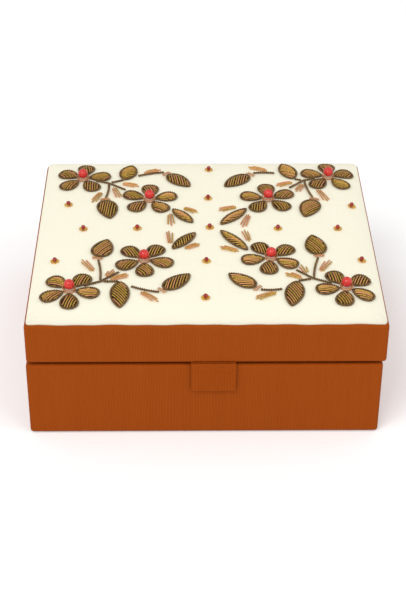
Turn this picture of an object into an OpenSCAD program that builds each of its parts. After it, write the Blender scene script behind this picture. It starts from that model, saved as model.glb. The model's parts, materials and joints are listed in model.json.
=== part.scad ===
// Cloth-covered keepsake box with a hinged lid, a padded silk panel and an embroidered sprig
// in each corner of the panel. Millimetres. X runs to the right, Y to the back, Z up.
// The origin is under the middle of the box, on the surface that it stands on.

/* [Lid] */
// Width of the lid over its cloth
lid_w = 200; // [192:1:260]
// Depth of the lid over its cloth
lid_d = 180; // [172:1:240]
// Height of the lid's cloth band
lid_h = 25; // [20:0.5:40]
// How far the lid is glued to the right of the base
lid_slip = 1; // [0:0.1:1.5]

/* [Base] */
// Height of the base, from the surface it stands on to its top edge
base_h = 48; // [34:1:90]
// How far the lid stands past the base at the front and at each side
lid_overhang = 0.5; // [0.2:0.1:1.2]
// Open seam between the base's top edge and the lid's lower edge
seam_gap = 2; // [1.4:0.1:3]
// Thickness of the felt sheet under the base
felt_t = 0.4; // [0.3:0.1:1]
// How far the felt sheet stays in from the base's outline
felt_inset = 4; // [3:0.5:8]

/* [Boards and cloth] */
// Thickness of the greyboard
board_t = 3; // [2:0.25:4]
// Thickness of the ribbed cover cloth
cloth_t = 0.6; // [0.4:0.05:0.8]
// Radius of the covered edges and corners
edge_r = 1.8; // [1.2:0.1:2.4]
// Depth of the cover cloth turned in over a wall's edge
turn_in = 10; // [6:1:14]
// Width of the cover cloth turned over the closed face of a tray
turn_over = 12; // [8:1:20]

/* [Lining] */
// Thickness of a lining card with its cloth
lining_t = 1.6; // [1.4:0.1:2.5]
// How far the lining stops short of a wall's edge
lining_drop = 1.5; // [1:0.25:4]
// Thickness of the floor pad at its edge
floor_pad_t = 3; // [2:0.5:6]
// Thickness of the ceiling pad at its edge
ceiling_pad_t = 2; // [1.5:0.5:4]
// How far a pad rises from its edge to its middle
pad_crown = 2; // [1:0.25:4]
// Gap between a pad and the lining round it
pad_clearance = 0.3; // [0.2:0.1:1]

/* [Hinge] */
// How far the hinge cloth stays in from the ends of the back
hinge_inset = 6; // [4:1:20]
// How far the hinge cloth stays short of the top and the bottom of the back
hinge_margin = 4; // [3:0.5:8]
// Thickness of the inner hinge strip
strip_t = 0.5; // [0.3:0.1:0.8]
// Height of the inner hinge strip that is glued to each lining
strip_grip = 9; // [6:1:14]
// Radius at the end of the slack fold in the inner hinge strip
strip_fold_r = 2.2; // [1.8:0.1:2.4]
// How far the lid opens, in degrees, before the inner hinge strip is drawn tight
lid_open = 100; // [80:1:110]

/* [Pull tab] */
// Width of the pull tab
tab_w = 25; // [15:1:40]
// Length of the pull tab, from its fold to its end
tab_l = 18; // [12:1:26]
// Thickness of the pull tab
tab_t = 1.2; // [0.8:0.1:1.4]
// How far the tab is to the right of the lid's middle
tab_offset = 4; // [-40:1:40]
// Gap between the pull tab and the plane of the lid's front
tab_clearance = 0.15; // [0.1:0.05:0.5]
// Thickness of the tab's glued end
tab_root_t = 0.8; // [0.5:0.1:0.9]
// Height of the tab's glued end inside the lid
tab_grip = 9; // [6:1:12]

/* [Padded panel] */
// Width of the lid's rim left bare round the panel
rim_w = 1.2; // [0.8:0.1:3]
// Thickness of the panel's card
card_t = 0.9; // [0.6:0.1:2]
// Thickness of the silk
silk_t = 0.3; // [0.2:0.05:0.4]
// Width of the silk turned under the card
silk_turn = 10; // [6:1:16]
// How far the wadding lifts the silk in the middle of the panel
loft = 4.1; // [2:0.1:7]
// Radius of the panel's back corners in plan
panel_r = 4; // [3:0.5:8]
// Radius of the panel's front corners in plan
panel_front_r = 2; // [1.5:0.5:8]
// How tight the silk is drawn: a higher value gives a flatter middle
tautness = 14; // [8:2:20]

/* [Embroidery] */
// Size of the square that a sprig is laid out in
sprig_w = 100; // [90:1:106]
// Diameter of the couched cord of stems and outlines
cord_d = 1.3; // [1:0.1:1.6]
// Diameter of the purl wire
purl_d = 1.1; // [0.8:0.1:1.3]
// Gap that the sewn pieces keep to the silk
seat = 0.2; // [0.15:0.05:0.4]
// Distance from a flower's middle to the inner end of a petal
petal_start = 4; // [3.9:0.1:5]
// Length of a petal
petal_l = 13.8; // [10:0.2:15]
// Width of a petal
petal_w = 11.2; // [8:0.2:11.6]
// Width of a leaf
leaf_w = 11.6; // [8:0.2:12]
// Width of a bud
bud_w = 13.2; // [9:0.2:13.6]
// Width of a slender leaf
slim_w = 8; // [5:0.2:8.4]
// Height of the purl filling over the silk
fill_h = 1.9; // [1.5:0.1:2.6]
// Diameter of a coral bead
bead_d = 6; // [4:0.2:6.4]
// Diameter of a sequin
sequin_d = 5; // [3:0.2:6]
// Thickness of a sequin
sequin_t = 0.3; // [0.2:0.1:0.6]
// Diameter of a seed bead
seed_d = 2.6; // [1.6:0.2:3]

/* [Hidden] */
$fn = 48;
eps = 0.01;

// Colours
rust = "#a04e1c";
dark_rust = "#8c3f16";
grey = "#b9b2a2";
brown = "#3a2a20";
buff = "#d9d4c4";
cream = "#f4f1e6";
ivory = "#fffdee";
olive = "#8a6a1c";
dark_olive = "#5d4a24";
copper = "#b9793f";
amber = "#e0a53a";
coral = "#d73c32";
red = "#a8241c";

// Small radii, gaps and shapes that no photographed size sets
tab_corner_r = 1;
pad_corner_r = 2;
card_fit = 0.1;
wadding_inset = 1;
wadding_edge = 0.3;
wadding_gap = 0.2;
stem_start = 9;
// How quickly a sewn shape widens from its foot and from its tip: near 0.5 rounds an end, near 1 points it
petal_powers = [0.8, 0.45];
leaf_powers = [0.7, 0.8];
side_leaf_powers = [0.55, 0.8];
slim_powers = [0.8, 0.8];
bud_powers = [0.5, 0.8];

// Places worked out from the driving dimensions
lid_x = lid_slip / 2;
base_x = -lid_slip / 2;
back_y = lid_d / 2;
base_w = lid_w - 2 * lid_overhang;
base_d = lid_d - lid_overhang;
base_y = back_y - base_d / 2;
lid_z = base_h + seam_gap;
lid_top = lid_z + lid_h;
wall_t = cloth_t + board_t;
panel_w = lid_w - 2 * rim_w;
panel_d = lid_d - 2 * rim_w;
panel_edge_z = lid_top + 2 * silk_t + card_t;
tab_x = lid_x + tab_offset;
tab_axis_y = -lid_d / 2 - tab_clearance - tab_t / 2;
tab_axis_z = lid_z - tab_root_t;

// A block with every edge and corner rounded to one radius, centred in plan and standing on z = 0
module rounded_block(w, d, h, r) {
    x = w / 2 - r;
    y = d / 2 - r;
    translate([-w / 2, -y, r]) cube([w, 2 * y, h - 2 * r]);
    translate([-x, -d / 2, r]) cube([2 * x, d, h - 2 * r]);
    translate([-x, -y, 0]) cube([2 * x, 2 * y, h]);
    for (sx = [-1, 1], sy = [-1, 1]) {
        translate([sx * x, sy * y, r]) cylinder(h = h - 2 * r, r = r);
        for (z = [r, h - r]) translate([sx * x, sy * y, z]) sphere(r);
    }
    for (z = [r, h - r]) {
        for (sy = [-1, 1]) translate([-x, sy * y, z]) rotate([0, 90, 0]) cylinder(h = 2 * x, r = r);
        for (sx = [-1, 1]) translate([sx * x, y, z]) rotate([90, 0, 0]) cylinder(h = 2 * y, r = r);
    }
}

// A plain box centred in plan, from z = low to z = high
module slab(w, d, low, high) {
    translate([-w / 2, -d / 2, low]) cube([w, d, high - low]);
}

// The boards of an open tray fill this block inside the cover cloth
module tray_core(w, d, h) {
    translate([0, 0, cloth_t]) rounded_block(w - 2 * cloth_t, d - 2 * cloth_t, h - 2 * cloth_t, edge_r - cloth_t);
}

module tray_floor_board(w, d, h) {
    intersection() {
        tray_core(w, d, h);
        slab(w, d, 0, wall_t);
    }
}

// A front or back wall board, as wide as the tray; side is -1 at the front and 1 at the back
module tray_long_board(w, d, h, side) {
    intersection() {
        tray_core(w, d, h);
        translate([0, side * (d / 2 - wall_t / 2), 0]) slab(w, wall_t, wall_t, h);
    }
}

// A left or right wall board, butted between the front and the back boards
module tray_side_board(w, d, h, side) {
    intersection() {
        tray_core(w, d, h);
        translate([side * (w / 2 - wall_t / 2), 0, 0]) slab(wall_t, d - 2 * wall_t, wall_t, h);
    }
}

// Cover cloth of a tray: walls, the turn-over round the closed face and the turn-in over the walls' edges
module tray_cover(w, d, h) {
    difference() {
        rounded_block(w, d, h, edge_r);
        tray_core(w, d, h);
        slab(w - 2 * turn_over, d - 2 * turn_over, -eps, 2 * cloth_t);
        slab(w - 2 * (wall_t + cloth_t), d - 2 * (wall_t + cloth_t), h - 2 * cloth_t, h + eps);
    }
    difference() {
        slab(w - 2 * wall_t, d - 2 * wall_t, h - turn_in, h);
        slab(w - 2 * (wall_t + cloth_t), d - 2 * (wall_t + cloth_t), h - turn_in - eps, h + eps);
    }
}

// Lining cards round the inside of a tray, rebated over the turned-in cloth
module tray_lining(w, d, h) {
    difference() {
        slab(w - 2 * wall_t, d - 2 * wall_t, wall_t, h - lining_drop);
        slab(w - 2 * (wall_t + lining_t), d - 2 * (wall_t + lining_t), wall_t - eps, h);
        difference() {
            slab(w, d, h - turn_in, h);
            slab(w - 2 * (wall_t + cloth_t), d - 2 * (wall_t + cloth_t), h - turn_in - eps, h + eps);
        }
    }
}

// Puts a tray's piece in the base, open at the top
module in_base() {
    translate([base_x, base_y, felt_t]) children();
}

// Puts a tray's piece in the lid, open at the bottom
module in_lid() {
    translate([lid_x, 0, lid_top]) mirror([0, 0, 1]) children();
}

// The opening in both covers that the hinge cloth fills
module hinge_window(low, high, clearance = 0) {
    w = base_w - 2 * hinge_inset - 2 * clearance;
    translate([-w / 2, back_y - cloth_t, low]) cube([w, cloth_t + (clearance > 0 ? 0 : 1), high - low]);
}

hinge_low = felt_t + hinge_margin;
hinge_high = lid_top - hinge_margin;

// Triangles that join ring i to ring i + 1 of a stack, each ring having n points
function band(i, n) = [for (k = [0:n - 1]) let (a = i * n + k, b = i * n + (k + 1) % n)
    each [[a, a + n, b], [b, a + n, b + n]]];
// Triangles from a ring's points to one point, facing down or up
function fan_down(first, n, tip) = [for (k = [0:n - 1]) [tip, first + k, first + (k + 1) % n]];
function fan_up(first, n, tip) = [for (k = [0:n - 1]) [first + k, tip, first + (k + 1) % n]];

// Outline of a rounded rectangle, anticlockwise, with extra points along its sides
corner_steps = 4;
side_shares = [0.02, 0.06, 0.14, 0.3, 0.5, 0.7, 0.86, 0.94, 0.98];
function arc_points(cx, cy, r, start) = [for (i = [0:corner_steps]) let (a = start + 90 * i / corner_steps)
    [cx + r * cos(a), cy + r * sin(a)]];
function between(p, q) = [for (s = side_shares) p + (q - p) * s];
function panel_outline(w, d, back_r, front_r) = let (x = w / 2, y = d / 2) concat(
    arc_points(x - back_r, y - back_r, back_r, 0), between([x - back_r, y], [back_r - x, y]),
    arc_points(back_r - x, y - back_r, back_r, 90), between([-x, y - back_r], [-x, front_r - y]),
    arc_points(front_r - x, front_r - y, front_r, 180), between([front_r - x, -y], [x - front_r, -y]),
    arc_points(x - front_r, front_r - y, front_r, 270), between([x, front_r - y], [x, y - back_r]));

// How full the wadding stands at a place, from 0 at the edge to 1 in the middle
function swell(x, y, w, d) = (1 - pow(min(abs(2 * x / w), 1), tautness)) * (1 - pow(min(abs(2 * y / d), 1), tautness));
ring_scales = [1, 0.985, 0.965, 0.935, 0.895, 0.83, 0.72, 0.45];
function crown_rings(outline, base_z, rise) = [for (s = ring_scales) let (w = 2 * max([for (p = outline) p[0]]),
    d = 2 * max([for (p = outline) p[1]])) each [for (p = outline)
    [s * p[0], s * p[1], base_z + rise * swell(s * p[0], s * p[1], w, d)]]];

// A pad with a flat underside at z = 0, upright edges and a crowned top
module crowned_pad(w, d, back_r, front_r, edge_h, rise) {
    outline = panel_outline(w, d, back_r, front_r);
    n = len(outline);
    m = len(ring_scales);
    bottom = [for (p = outline) [p[0], p[1], 0]];
    points = concat(bottom, crown_rings(outline, edge_h, rise), [[0, 0, 0], [0, 0, edge_h + rise]]);
    polyhedron(points, concat([for (i = [0:m - 1]) each band(i, n)],
        fan_down(0, n, (m + 1) * n), fan_up(m * n, n, (m + 1) * n + 1)), convexity = 4);
}

// The silk: a crowned skin that is drawn over the panel's edge and turned under its card
module silk_skin() {
    outer = panel_outline(panel_w, panel_d, panel_r, panel_front_r);
    inner = panel_outline(panel_w - 2 * silk_t, panel_d - 2 * silk_t, panel_r - silk_t, panel_front_r - silk_t);
    folded = panel_outline(panel_w - 2 * silk_turn, panel_d - 2 * silk_turn, panel_r, panel_r);
    n = len(outer);
    m = len(ring_scales);
    top_z = panel_edge_z - lid_top;
    folded_top = [for (p = folded) [p[0], p[1], silk_t]];
    folded_bottom = [for (p = folded) [p[0], p[1], 0]];
    outer_bottom = [for (p = outer) [p[0], p[1], 0]];
    outside = concat(folded_top, folded_bottom, outer_bottom, crown_rings(outer, top_z, loft));
    inside = concat([for (p = inner) [p[0], p[1], silk_t]], crown_rings(inner, top_z - silk_t, loft));
    first = (m + 3) * n;
    last = (m + 1) * n + first;
    points = concat(outside, inside, [[0, 0, top_z + loft], [0, 0, top_z - silk_t + loft]]);
    polyhedron(points, concat(
        [for (i = [0:m + 1]) each band(i, n)],
        fan_up((m + 2) * n, n, last),
        [for (k = [0:n - 1]) let (a = k, b = (k + 1) % n) each [[a, b, first + a], [b, first + b, first + a]]],
        [for (i = [0:m - 1]) each [for (f = band(i, n)) [f[0] + first, f[2] + first, f[1] + first]]],
        [for (f = fan_up(first + m * n, n, last + 1)) [f[0], f[2], f[1]]]), convexity = 6);
}

// Height of the silk's face at a place on the panel, from the panel's middle
function silk_z(p) = panel_edge_z + loft * swell(p[0], p[1], panel_w, panel_d);

// Each sprig is laid out from its corner of the panel: across from the side, then in from the front or back
// A row holds the corner, flower by the corner, flower by the middle, bud, leaf, side leaf, slender leaf,
// fork of the stems, start of the runner and the sprays of loose purl
SPRIGS = [
    [[-1, -1], [22.5, 25.5, -1], [63.5, 56, -1], [[37, 59], [42, 78]], [[50.5, 33.5], [51, 8.5]],
        [[75, 25.5], [90, 41]], [[79.5, 67.5], [93.5, 85.5]], [39.5, 33.5], [57, 28.5],
        [[[35, 44.5], [28, 56]], [[42.7, 38.7], [46.1, 45.8]], [[45, 35.7], [55, 40.2]], [[62.5, 23], [72, 14]],
         [[78.5, 74], [77.5, 87]], [[87, 68], [95.5, 73]]]],
    [[1, -1], [20.4, 27.3, 5], [61, 58, 4], [[33.3, 61], [35.8, 82.5]], [[47.5, 33.5], [52, 9.5]],
        [[71, 27.5], [86, 41.5]], [[74, 66], [89.5, 88]], [38, 36], [56.5, 25.5],
        [[[33.5, 44], [27.5, 55]], [[41.8, 42], [44, 50]], [[44.5, 36.5], [53.5, 42]], [[60, 22.5], [71.5, 16.5]],
         [[73, 76], [75.5, 88]], [[79.5, 65], [90, 70]]]],
    [[-1, 1], [23.5, 27.5, 3], [65.5, 53.5, -3], [[38.5, 54.5], [42.5, 76]], [[49.5, 29.5], [54, 10]],
        [[76.5, 22.5], [90.5, 38]], [[79.5, 64.8], [92, 81]], [40, 33.5], [58, 24.5],
        [[[35.6, 45], [30.6, 56.5]], [[43, 39], [47, 50.5]], [[48.5, 34], [58.5, 37.5]], [[61.5, 20], [72, 16.5]],
         [[78, 70.5], [79, 84]], [[86.5, 64], [94.5, 69]]]],
    [[1, 1], [20.5, 25.5, -4], [59.5, 53, -1], [[31.5, 54.5], [38.5, 74.5]], [[42.5, 28.5], [48.5, 7.5]],
        [[70, 23.5], [86, 38]], [[73, 64.5], [89.5, 83]], [36, 30.5], [54, 21],
        [[[28, 42], [23.5, 55]], [[37, 35.5], [41.5, 44]], [[43.5, 32.5], [53.5, 37]], [[58.5, 17.5], [70, 12.5]],
         [[72, 72], [76.5, 85.5]], [[79.5, 62.5], [90, 66.5]]]]
];
// Directions of a flower's five petals, turned by the flower's own small angle
petal_turns = [134, 57, -14, -86, -152];
// Sequins stand in a loose cross over the panel and between the sprigs of a side
// By a side: [side, distance in from it, distance behind the panel's middle]
side_sequins = [[-1, 26.8, 1.5], [-1, 58.8, 2], [1, 55.3, 1.5], [1, 19.8, 1.5],
    [-1, 12.3, -33], [-1, 16.3, 30], [1, 8.8, -32], [1, 8.8, 29]];
// By the front or the back: [side, distance in from it, distance to the right of the panel's middle]
end_sequins = [[-1, 17.8, -0.5], [-1, 54.8, 0.5], [1, 51.8, 2.5], [1, 15.8, 3.5]];
middle_sequin = [3, 3];

// Layouts are in hundredths of a sprig's square
function laid(v) = v * sprig_w / 100;
sequin_places = concat([laid(middle_sequin)],
    [for (q = side_sequins) [q[0] * (panel_w / 2 - laid(q[1])), laid(q[2])]],
    [for (q = end_sequins) [laid(q[2]), q[0] * (panel_d / 2 - laid(q[1]))]]);

// A place given from a sprig's corner, as a place from the panel's middle
function place(s, p) = [s[0][0] * (panel_w / 2 - laid(p[0])), s[0][1] * (panel_d / 2 - laid(p[1]))];
// A direction in a sprig's own frame, as a direction on the panel
function turned(s, a) = [-s[0][0] * cos(a), -s[0][1] * sin(a)];
function unit(v) = v / norm(v);
function across(v) = [-v[1], v[0]];

// Outline of a petal or leaf from its foot to its tip, with the powers of those two ends
half_steps = 6;
function widest_at(powers) = powers[0] / (powers[0] + powers[1]);
function half_width(t, powers) = let (peak = widest_at(powers))
    pow(t, powers[0]) * pow(1 - t, powers[1]) / (pow(peak, powers[0]) * pow(1 - peak, powers[1]));
function pad_outline(foot, tip, w, powers) = let (u = tip - foot, v = across(unit(u)))
    concat([foot], [for (i = [1:half_steps - 1]) let (t = (1 - cos(180 * i / half_steps)) / 2)
        foot + u * t - v * w / 2 * half_width(t, powers)],
    [tip], [for (i = [half_steps - 1:-1:1]) let (t = (1 - cos(180 * i / half_steps)) / 2)
        foot + u * t + v * w / 2 * half_width(t, powers)]);

// Rings of a sewn shape as [share of the outline, height over the silk]: cord round the edge, filling inside
pad_rings = [[1, seat], [1, cord_d], [0.8, cord_d + seat], [0.74, cord_d * 0.8], [0.42, fill_h * 0.95]];

// A sewn shape: a raised cord round a padded filling, with an underside that follows the silk
module sewn_shape(foot, tip, w, powers) {
    outline = pad_outline(foot, tip, w, powers);
    middle = foot + (tip - foot) * widest_at(powers);
    n = len(outline);
    m = len(pad_rings);
    points = concat([for (r = pad_rings) each [for (p = outline) let (q = middle + (p - middle) * r[0])
        [q[0], q[1], silk_z(q) + r[1]]]],
        [[middle[0], middle[1], silk_z(middle) + seat], [middle[0], middle[1], silk_z(middle) + fill_h]]);
    polyhedron(points, concat([for (i = [0:m - 2]) each band(i, n)],
        fan_down(0, n, m * n), fan_up((m - 1) * n, n, m * n + 1)), convexity = 4);
}

module petal(s, flower, a) {
    d = turned(s, a + flower[2]);
    c = place(s, [flower[0], flower[1]]);
    sewn_shape(c + petal_start * d, c + (petal_start + petal_l) * d, petal_w, petal_powers);
}

// A cord laid along a list of places on the panel
cord_sides = 6;
module cord_along(route) {
    n = cord_sides;
    m = len(route);
    r = cord_d / 2;
    points = concat([for (i = [0:m - 1]) let (p = route[i], q = route[min(i + 1, m - 1)] - route[max(i - 1, 0)],
        v = across(unit(q))) each [for (k = [0:n - 1]) let (a = 360 * k / n + 90)
        [p[0] - v[0] * r * cos(a), p[1] - v[1] * r * cos(a), silk_z(p) + seat + r + r * sin(a)]]]);
    ends = [for (k = [1:n - 2]) each [[0, k, k + 1], [(m - 1) * n, (m - 1) * n + k + 1, (m - 1) * n + k]]];
    polyhedron(points, concat([for (i = [0:m - 2]) each band(i, n)], ends), convexity = 4);
}

// A smooth route from p to q that bows towards a point between them
function bow(p, c, q, steps) = [for (i = [0:steps]) let (t = i / steps)
    p * (1 - t) * (1 - t) + c * 2 * t * (1 - t) + q * t * t];
function toward(p, q, gap) = p + unit(q - p) * gap;

// A straight bit of purl wire from p to q, lying on the silk
module purl(p, q, d) {
    r = d / 2;
    z = max(silk_z(p), silk_z(q), silk_z((p + q) / 2)) + seat + r;
    u = q - p;
    translate([p[0], p[1], z]) rotate([0, 90, atan2(u[1], u[0])]) cylinder(h = norm(u), r = r);
}

// Three bits of purl laid side by side, the middle one longest
purl_pitch = purl_d + 0.2;
module spray(p, q) {
    u = unit(q - p);
    v = across(u);
    for (k = [-1:1]) {
        shift = v * purl_pitch * k + u * abs(k) * purl_d * (k > 0 ? 1 : 1.6);
        purl(p + shift, q + shift - u * abs(k) * 2 * purl_d, purl_d);
    }
}

// Two turns of purl across a stem, just before the foot of a bud or leaf
collar_l = 6.5;
module collar(foot, tip) {
    u = unit(tip - foot);
    v = across(u) * collar_l / 2;
    for (k = [0, 1]) {
        c = foot - u * (purl_d * 0.5 + 0.2 + k * purl_pitch);
        purl(c - v * (1 - 0.15 * k), c + v * (1 - 0.15 * k), purl_d);
    }
}
collar_reach = 1 + 2 * purl_pitch;

// Puts a piece on the lid's panel, whose middle is the lid's middle
module on_panel() {
    translate([lid_x, 0, 0]) children();
}

module base_bottom_board() { color(grey) in_base() tray_floor_board(base_w, base_d, base_h - felt_t); }
module base_front_board() { color(grey) in_base() tray_long_board(base_w, base_d, base_h - felt_t, -1); }
module base_back_board() { color(grey) in_base() tray_long_board(base_w, base_d, base_h - felt_t, 1); }
module base_left_board() { color(grey) in_base() tray_side_board(base_w, base_d, base_h - felt_t, -1); }
module base_right_board() { color(grey) in_base() tray_side_board(base_w, base_d, base_h - felt_t, 1); }

module base_cover() {
    color(rust) difference() {
        in_base() tray_cover(base_w, base_d, base_h - felt_t);
        hinge_window(hinge_low, base_h + 1);
    }
}

// Felt under the base: it hides the cover's turn-over and fills the field inside it
module underside_felt() {
    color(brown) translate([base_x, base_y, 0]) {
        slab(base_w - 2 * felt_inset, base_d - 2 * felt_inset, 0, felt_t);
        slab(base_w - 2 * turn_over, base_d - 2 * turn_over, 0, felt_t + cloth_t);
    }
}

module base_lining() {
    color(dark_rust) in_base() tray_lining(base_w, base_d, base_h - felt_t);
}

module floor_pad() {
    gap = 2 * (wall_t + lining_t + pad_clearance);
    color(dark_rust) translate([base_x, base_y, felt_t + wall_t])
        crowned_pad(base_w - gap, base_d - gap, pad_corner_r, pad_corner_r, floor_pad_t, pad_crown);
}

module lid_top_board() { color(grey) in_lid() tray_floor_board(lid_w, lid_d, lid_h); }
module lid_front_board() { color(grey) in_lid() tray_long_board(lid_w, lid_d, lid_h, -1); }
module lid_back_board() { color(grey) in_lid() tray_long_board(lid_w, lid_d, lid_h, 1); }
module lid_left_board() { color(grey) in_lid() tray_side_board(lid_w, lid_d, lid_h, -1); }
module lid_right_board() { color(grey) in_lid() tray_side_board(lid_w, lid_d, lid_h, 1); }

module lid_cover() {
    color(rust) difference() {
        in_lid() tray_cover(lid_w, lid_d, lid_h);
        hinge_window(lid_z - 1, hinge_high);
    }
}

// Inner face of the cloth turned in behind the lid's front wall, where the tab's end is glued
tab_seat_y = -lid_d / 2 + wall_t + cloth_t;
tab_root_top = lid_z + tab_grip;

module lid_lining() {
    color(dark_rust) difference() {
        in_lid() tray_lining(lid_w, lid_d, lid_h);
        translate([tab_x, tab_seat_y + tab_root_t / 2 - eps, 0])
            slab(tab_w + 2 * pad_clearance, tab_root_t + 2 * eps, lid_z, tab_root_top + pad_clearance);
    }
}

module ceiling_pad() {
    gap = 2 * (wall_t + lining_t + pad_clearance);
    color(dark_rust) in_lid() translate([0, 0, wall_t])
        crowned_pad(lid_w - gap, lid_d - gap, pad_corner_r, pad_corner_r, ceiling_pad_t, pad_crown);
}

// Back cloth of the box in one piece: it joins the lid to the base and bends at the seam
module hinge_cloth() {
    color(rust) hinge_window(hinge_low, hinge_high, 0.05);
}

// Lining strip over the seam inside the back. Its glued ends stop at the linings' edges, and between them
// a fold holds the slack that lets the lid open: the free length is the span that the open lid leaves.
strip_y = back_y - wall_t - lining_t;
seam_z = base_h + seam_gap / 2;
strip_edge = seam_gap / 2 + lining_drop;
strip_span = 2 * norm([back_y - strip_y, strip_edge]) * sin(atan(strip_edge / (back_y - strip_y)) + lid_open / 2);
strip_mid_r = strip_fold_r - strip_t / 2;
fold_depth = (strip_span - 2 * (strip_edge - strip_mid_r) - PI * strip_mid_r) / 2;
module inner_hinge_strip() {
    w = base_w - 2 * (wall_t + lining_t + hinge_inset);
    reach = strip_edge + strip_grip;
    color(dark_rust) translate([-w / 2, strip_y, seam_z]) rotate([90, 0, 90]) linear_extrude(w) {
        translate([-fold_depth, 0]) difference() {
            circle(strip_fold_r);
            circle(strip_fold_r - strip_t);
            translate([0, -strip_fold_r - eps]) square([strip_fold_r + eps, 2 * (strip_fold_r + eps)]);
        }
        for (z = [-strip_fold_r, strip_fold_r - strip_t])
            translate([-fold_depth - eps, z]) square([fold_depth + eps, strip_t]);
        for (z = [-reach, strip_fold_r - strip_t])
            translate([-strip_t, z]) square([strip_t, reach - strip_fold_r + strip_t]);
    }
}

// Glued end of the pull tab: under the lid's front wall and up behind the lining
module tab_root() {
    front_y = tab_axis_y + tab_t / 2 + pad_clearance;
    color(rust) translate([tab_x, 0, 0]) {
        translate([-tab_w / 2, front_y, lid_z - tab_root_t])
            cube([tab_w, tab_seat_y + tab_root_t - front_y, tab_root_t]);
        translate([-tab_w / 2, tab_seat_y, lid_z - tab_root_t])
            cube([tab_w, tab_root_t, tab_root_top - lid_z + tab_root_t]);
    }
}

// Pull tab: a doubled cloth flap that hangs from its fold, with rounded lower corners
module pull_tab() {
    corner = tab_corner_r;
    color(rust) translate([tab_x, tab_axis_y, tab_axis_z]) {
        rotate([0, 90, 0]) cylinder(h = tab_w, r = tab_t / 2, center = true);
        translate([-tab_w / 2, -tab_t / 2, corner - tab_l]) cube([tab_w, tab_t, tab_l - corner]);
        translate([-tab_w / 2 + corner, -tab_t / 2, -tab_l]) cube([tab_w - 2 * corner, tab_t, 2 * corner]);
        for (s = [-1, 1]) translate([s * (tab_w / 2 - corner), 0, corner - tab_l])
            rotate([90, 0, 0]) cylinder(h = tab_t, r = corner, center = true);
    }
}

module panel_card() {
    inset = silk_t + card_fit;
    x = panel_w / 2 - inset;
    y = panel_d / 2 - inset;
    color(buff) on_panel() translate([0, 0, lid_top + silk_t]) {
        translate([-x, panel_front_r - inset - y, 0]) cube([2 * x, 2 * y - panel_front_r - panel_r + 2 * inset, card_t]);
        for (end = [[-1, panel_front_r - inset], [1, panel_r - inset]]) let (r = end[1]) {
            translate([r - x, min(end[0] * y, end[0] * (y - r)), 0]) cube([2 * (x - r), r, card_t]);
            for (sx = [-1, 1]) translate([sx * (x - r), end[0] * (y - r), 0]) cylinder(h = card_t, r = r);
        }
    }
}

module panel_wadding() {
    inset = silk_t + wadding_inset;
    color(cream) on_panel() translate([0, 0, lid_top + silk_t + card_t])
        crowned_pad(panel_w - 2 * inset, panel_d - 2 * inset, panel_r, panel_r,
            wadding_edge, loft - wadding_edge - wadding_gap);
}

module panel_silk() {
    color(ivory) on_panel() translate([0, 0, lid_top]) silk_skin();
}

module petals() {
    color(olive) on_panel() for (s = SPRIGS, f = [s[1], s[2]], a = petal_turns) petal(s, f, a);
}

module leaves() {
    color(olive) on_panel() for (s = SPRIGS) {
        sewn_shape(place(s, s[4][0]), place(s, s[4][1]), leaf_w, leaf_powers);
        sewn_shape(place(s, s[5][0]), place(s, s[5][1]), leaf_w, side_leaf_powers);
        sewn_shape(place(s, s[6][0]), place(s, s[6][1]), slim_w, slim_powers);
    }
}

module buds() {
    color(olive) on_panel() for (s = SPRIGS)
        sewn_shape(place(s, s[3][0]), place(s, s[3][1]), bud_w, bud_powers);
}

// Stems of one sprig: one cord through the fork to both flowers, one to the bud, one to the leaf, and the runner
flower_reach = petal_start + petal_l + cord_d;
fork_gap = cord_d + 0.3;
module sprig_stems(s) {
    fork = place(s, s[7]);
    a = place(s, [s[1][0], s[1][1]]);
    b = place(s, [s[2][0], s[2][1]]);
    bud = toward(place(s, s[3][0]), fork, collar_reach);
    leaf = toward(place(s, s[4][0]), fork, 0.9);
    side = place(s, s[5][0]) - unit(place(s, s[5][1]) - place(s, s[5][0])) * collar_reach;
    runner = place(s, s[8]);
    cord_along(concat(bow(toward(a, fork, stem_start), toward(fork, a, stem_start / 2), fork, 4),
        [for (i = [1:4]) bow(fork, toward(fork, b, stem_start / 2), toward(b, fork, flower_reach), 4)[i]]));
    cord_along(bow(bud, (bud + fork) / 2 + turned(s, 0) * cord_d, toward(fork, bud, fork_gap), 5));
    cord_along(bow(leaf, (leaf + fork) / 2, toward(fork, leaf, fork_gap), 2));
    cord_along(bow(runner, (runner + side) / 2 - turned(s, 90) * cord_d, side, 5));
}

module stems() {
    color(dark_olive) on_panel() for (s = SPRIGS) sprig_stems(s);
}

module sprays() {
    color(copper) on_panel() for (s = SPRIGS, p = s[9]) spray(place(s, p[0]), place(s, p[1]));
}

// Cup of purl that a coral bead stands in: two turns under the bead and a wider one round it
cup_r = 2.5;
cup_rim_r = 3.35;
turn_gap = 0.02;
cup_foot_z = seat + purl_d / 2;
cup_seat_z = cup_foot_z + purl_d + turn_gap;
cup_rim_z = cup_seat_z + sqrt(pow(purl_d + turn_gap, 2) - pow(cup_rim_r - cup_r, 2));
bead_z = cup_seat_z + sqrt(pow((bead_d + purl_d) / 2 + turn_gap, 2) - pow(cup_r, 2));
module bead_collars() {
    color(copper) on_panel() for (s = SPRIGS, f = [s[1], s[2]]) {
        c = place(s, [f[0], f[1]]);
        for (turn = [[cup_r, cup_foot_z], [cup_r, cup_seat_z], [cup_rim_r, cup_rim_z]])
            translate([c[0], c[1], silk_z(c) + turn[1]]) rotate_extrude() translate([turn[0], 0]) circle(d = purl_d);
    }
}

module calyx_collars() {
    color(copper) on_panel() for (s = SPRIGS, m = [s[3], s[5]]) collar(place(s, m[0]), place(s, m[1]));
}

module coral_beads() {
    color(coral) on_panel() for (s = SPRIGS, f = [s[1], s[2]]) {
        c = place(s, [f[0], f[1]]);
        translate([c[0], c[1], silk_z(c) + bead_z]) sphere(d = bead_d);
    }
}

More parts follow.
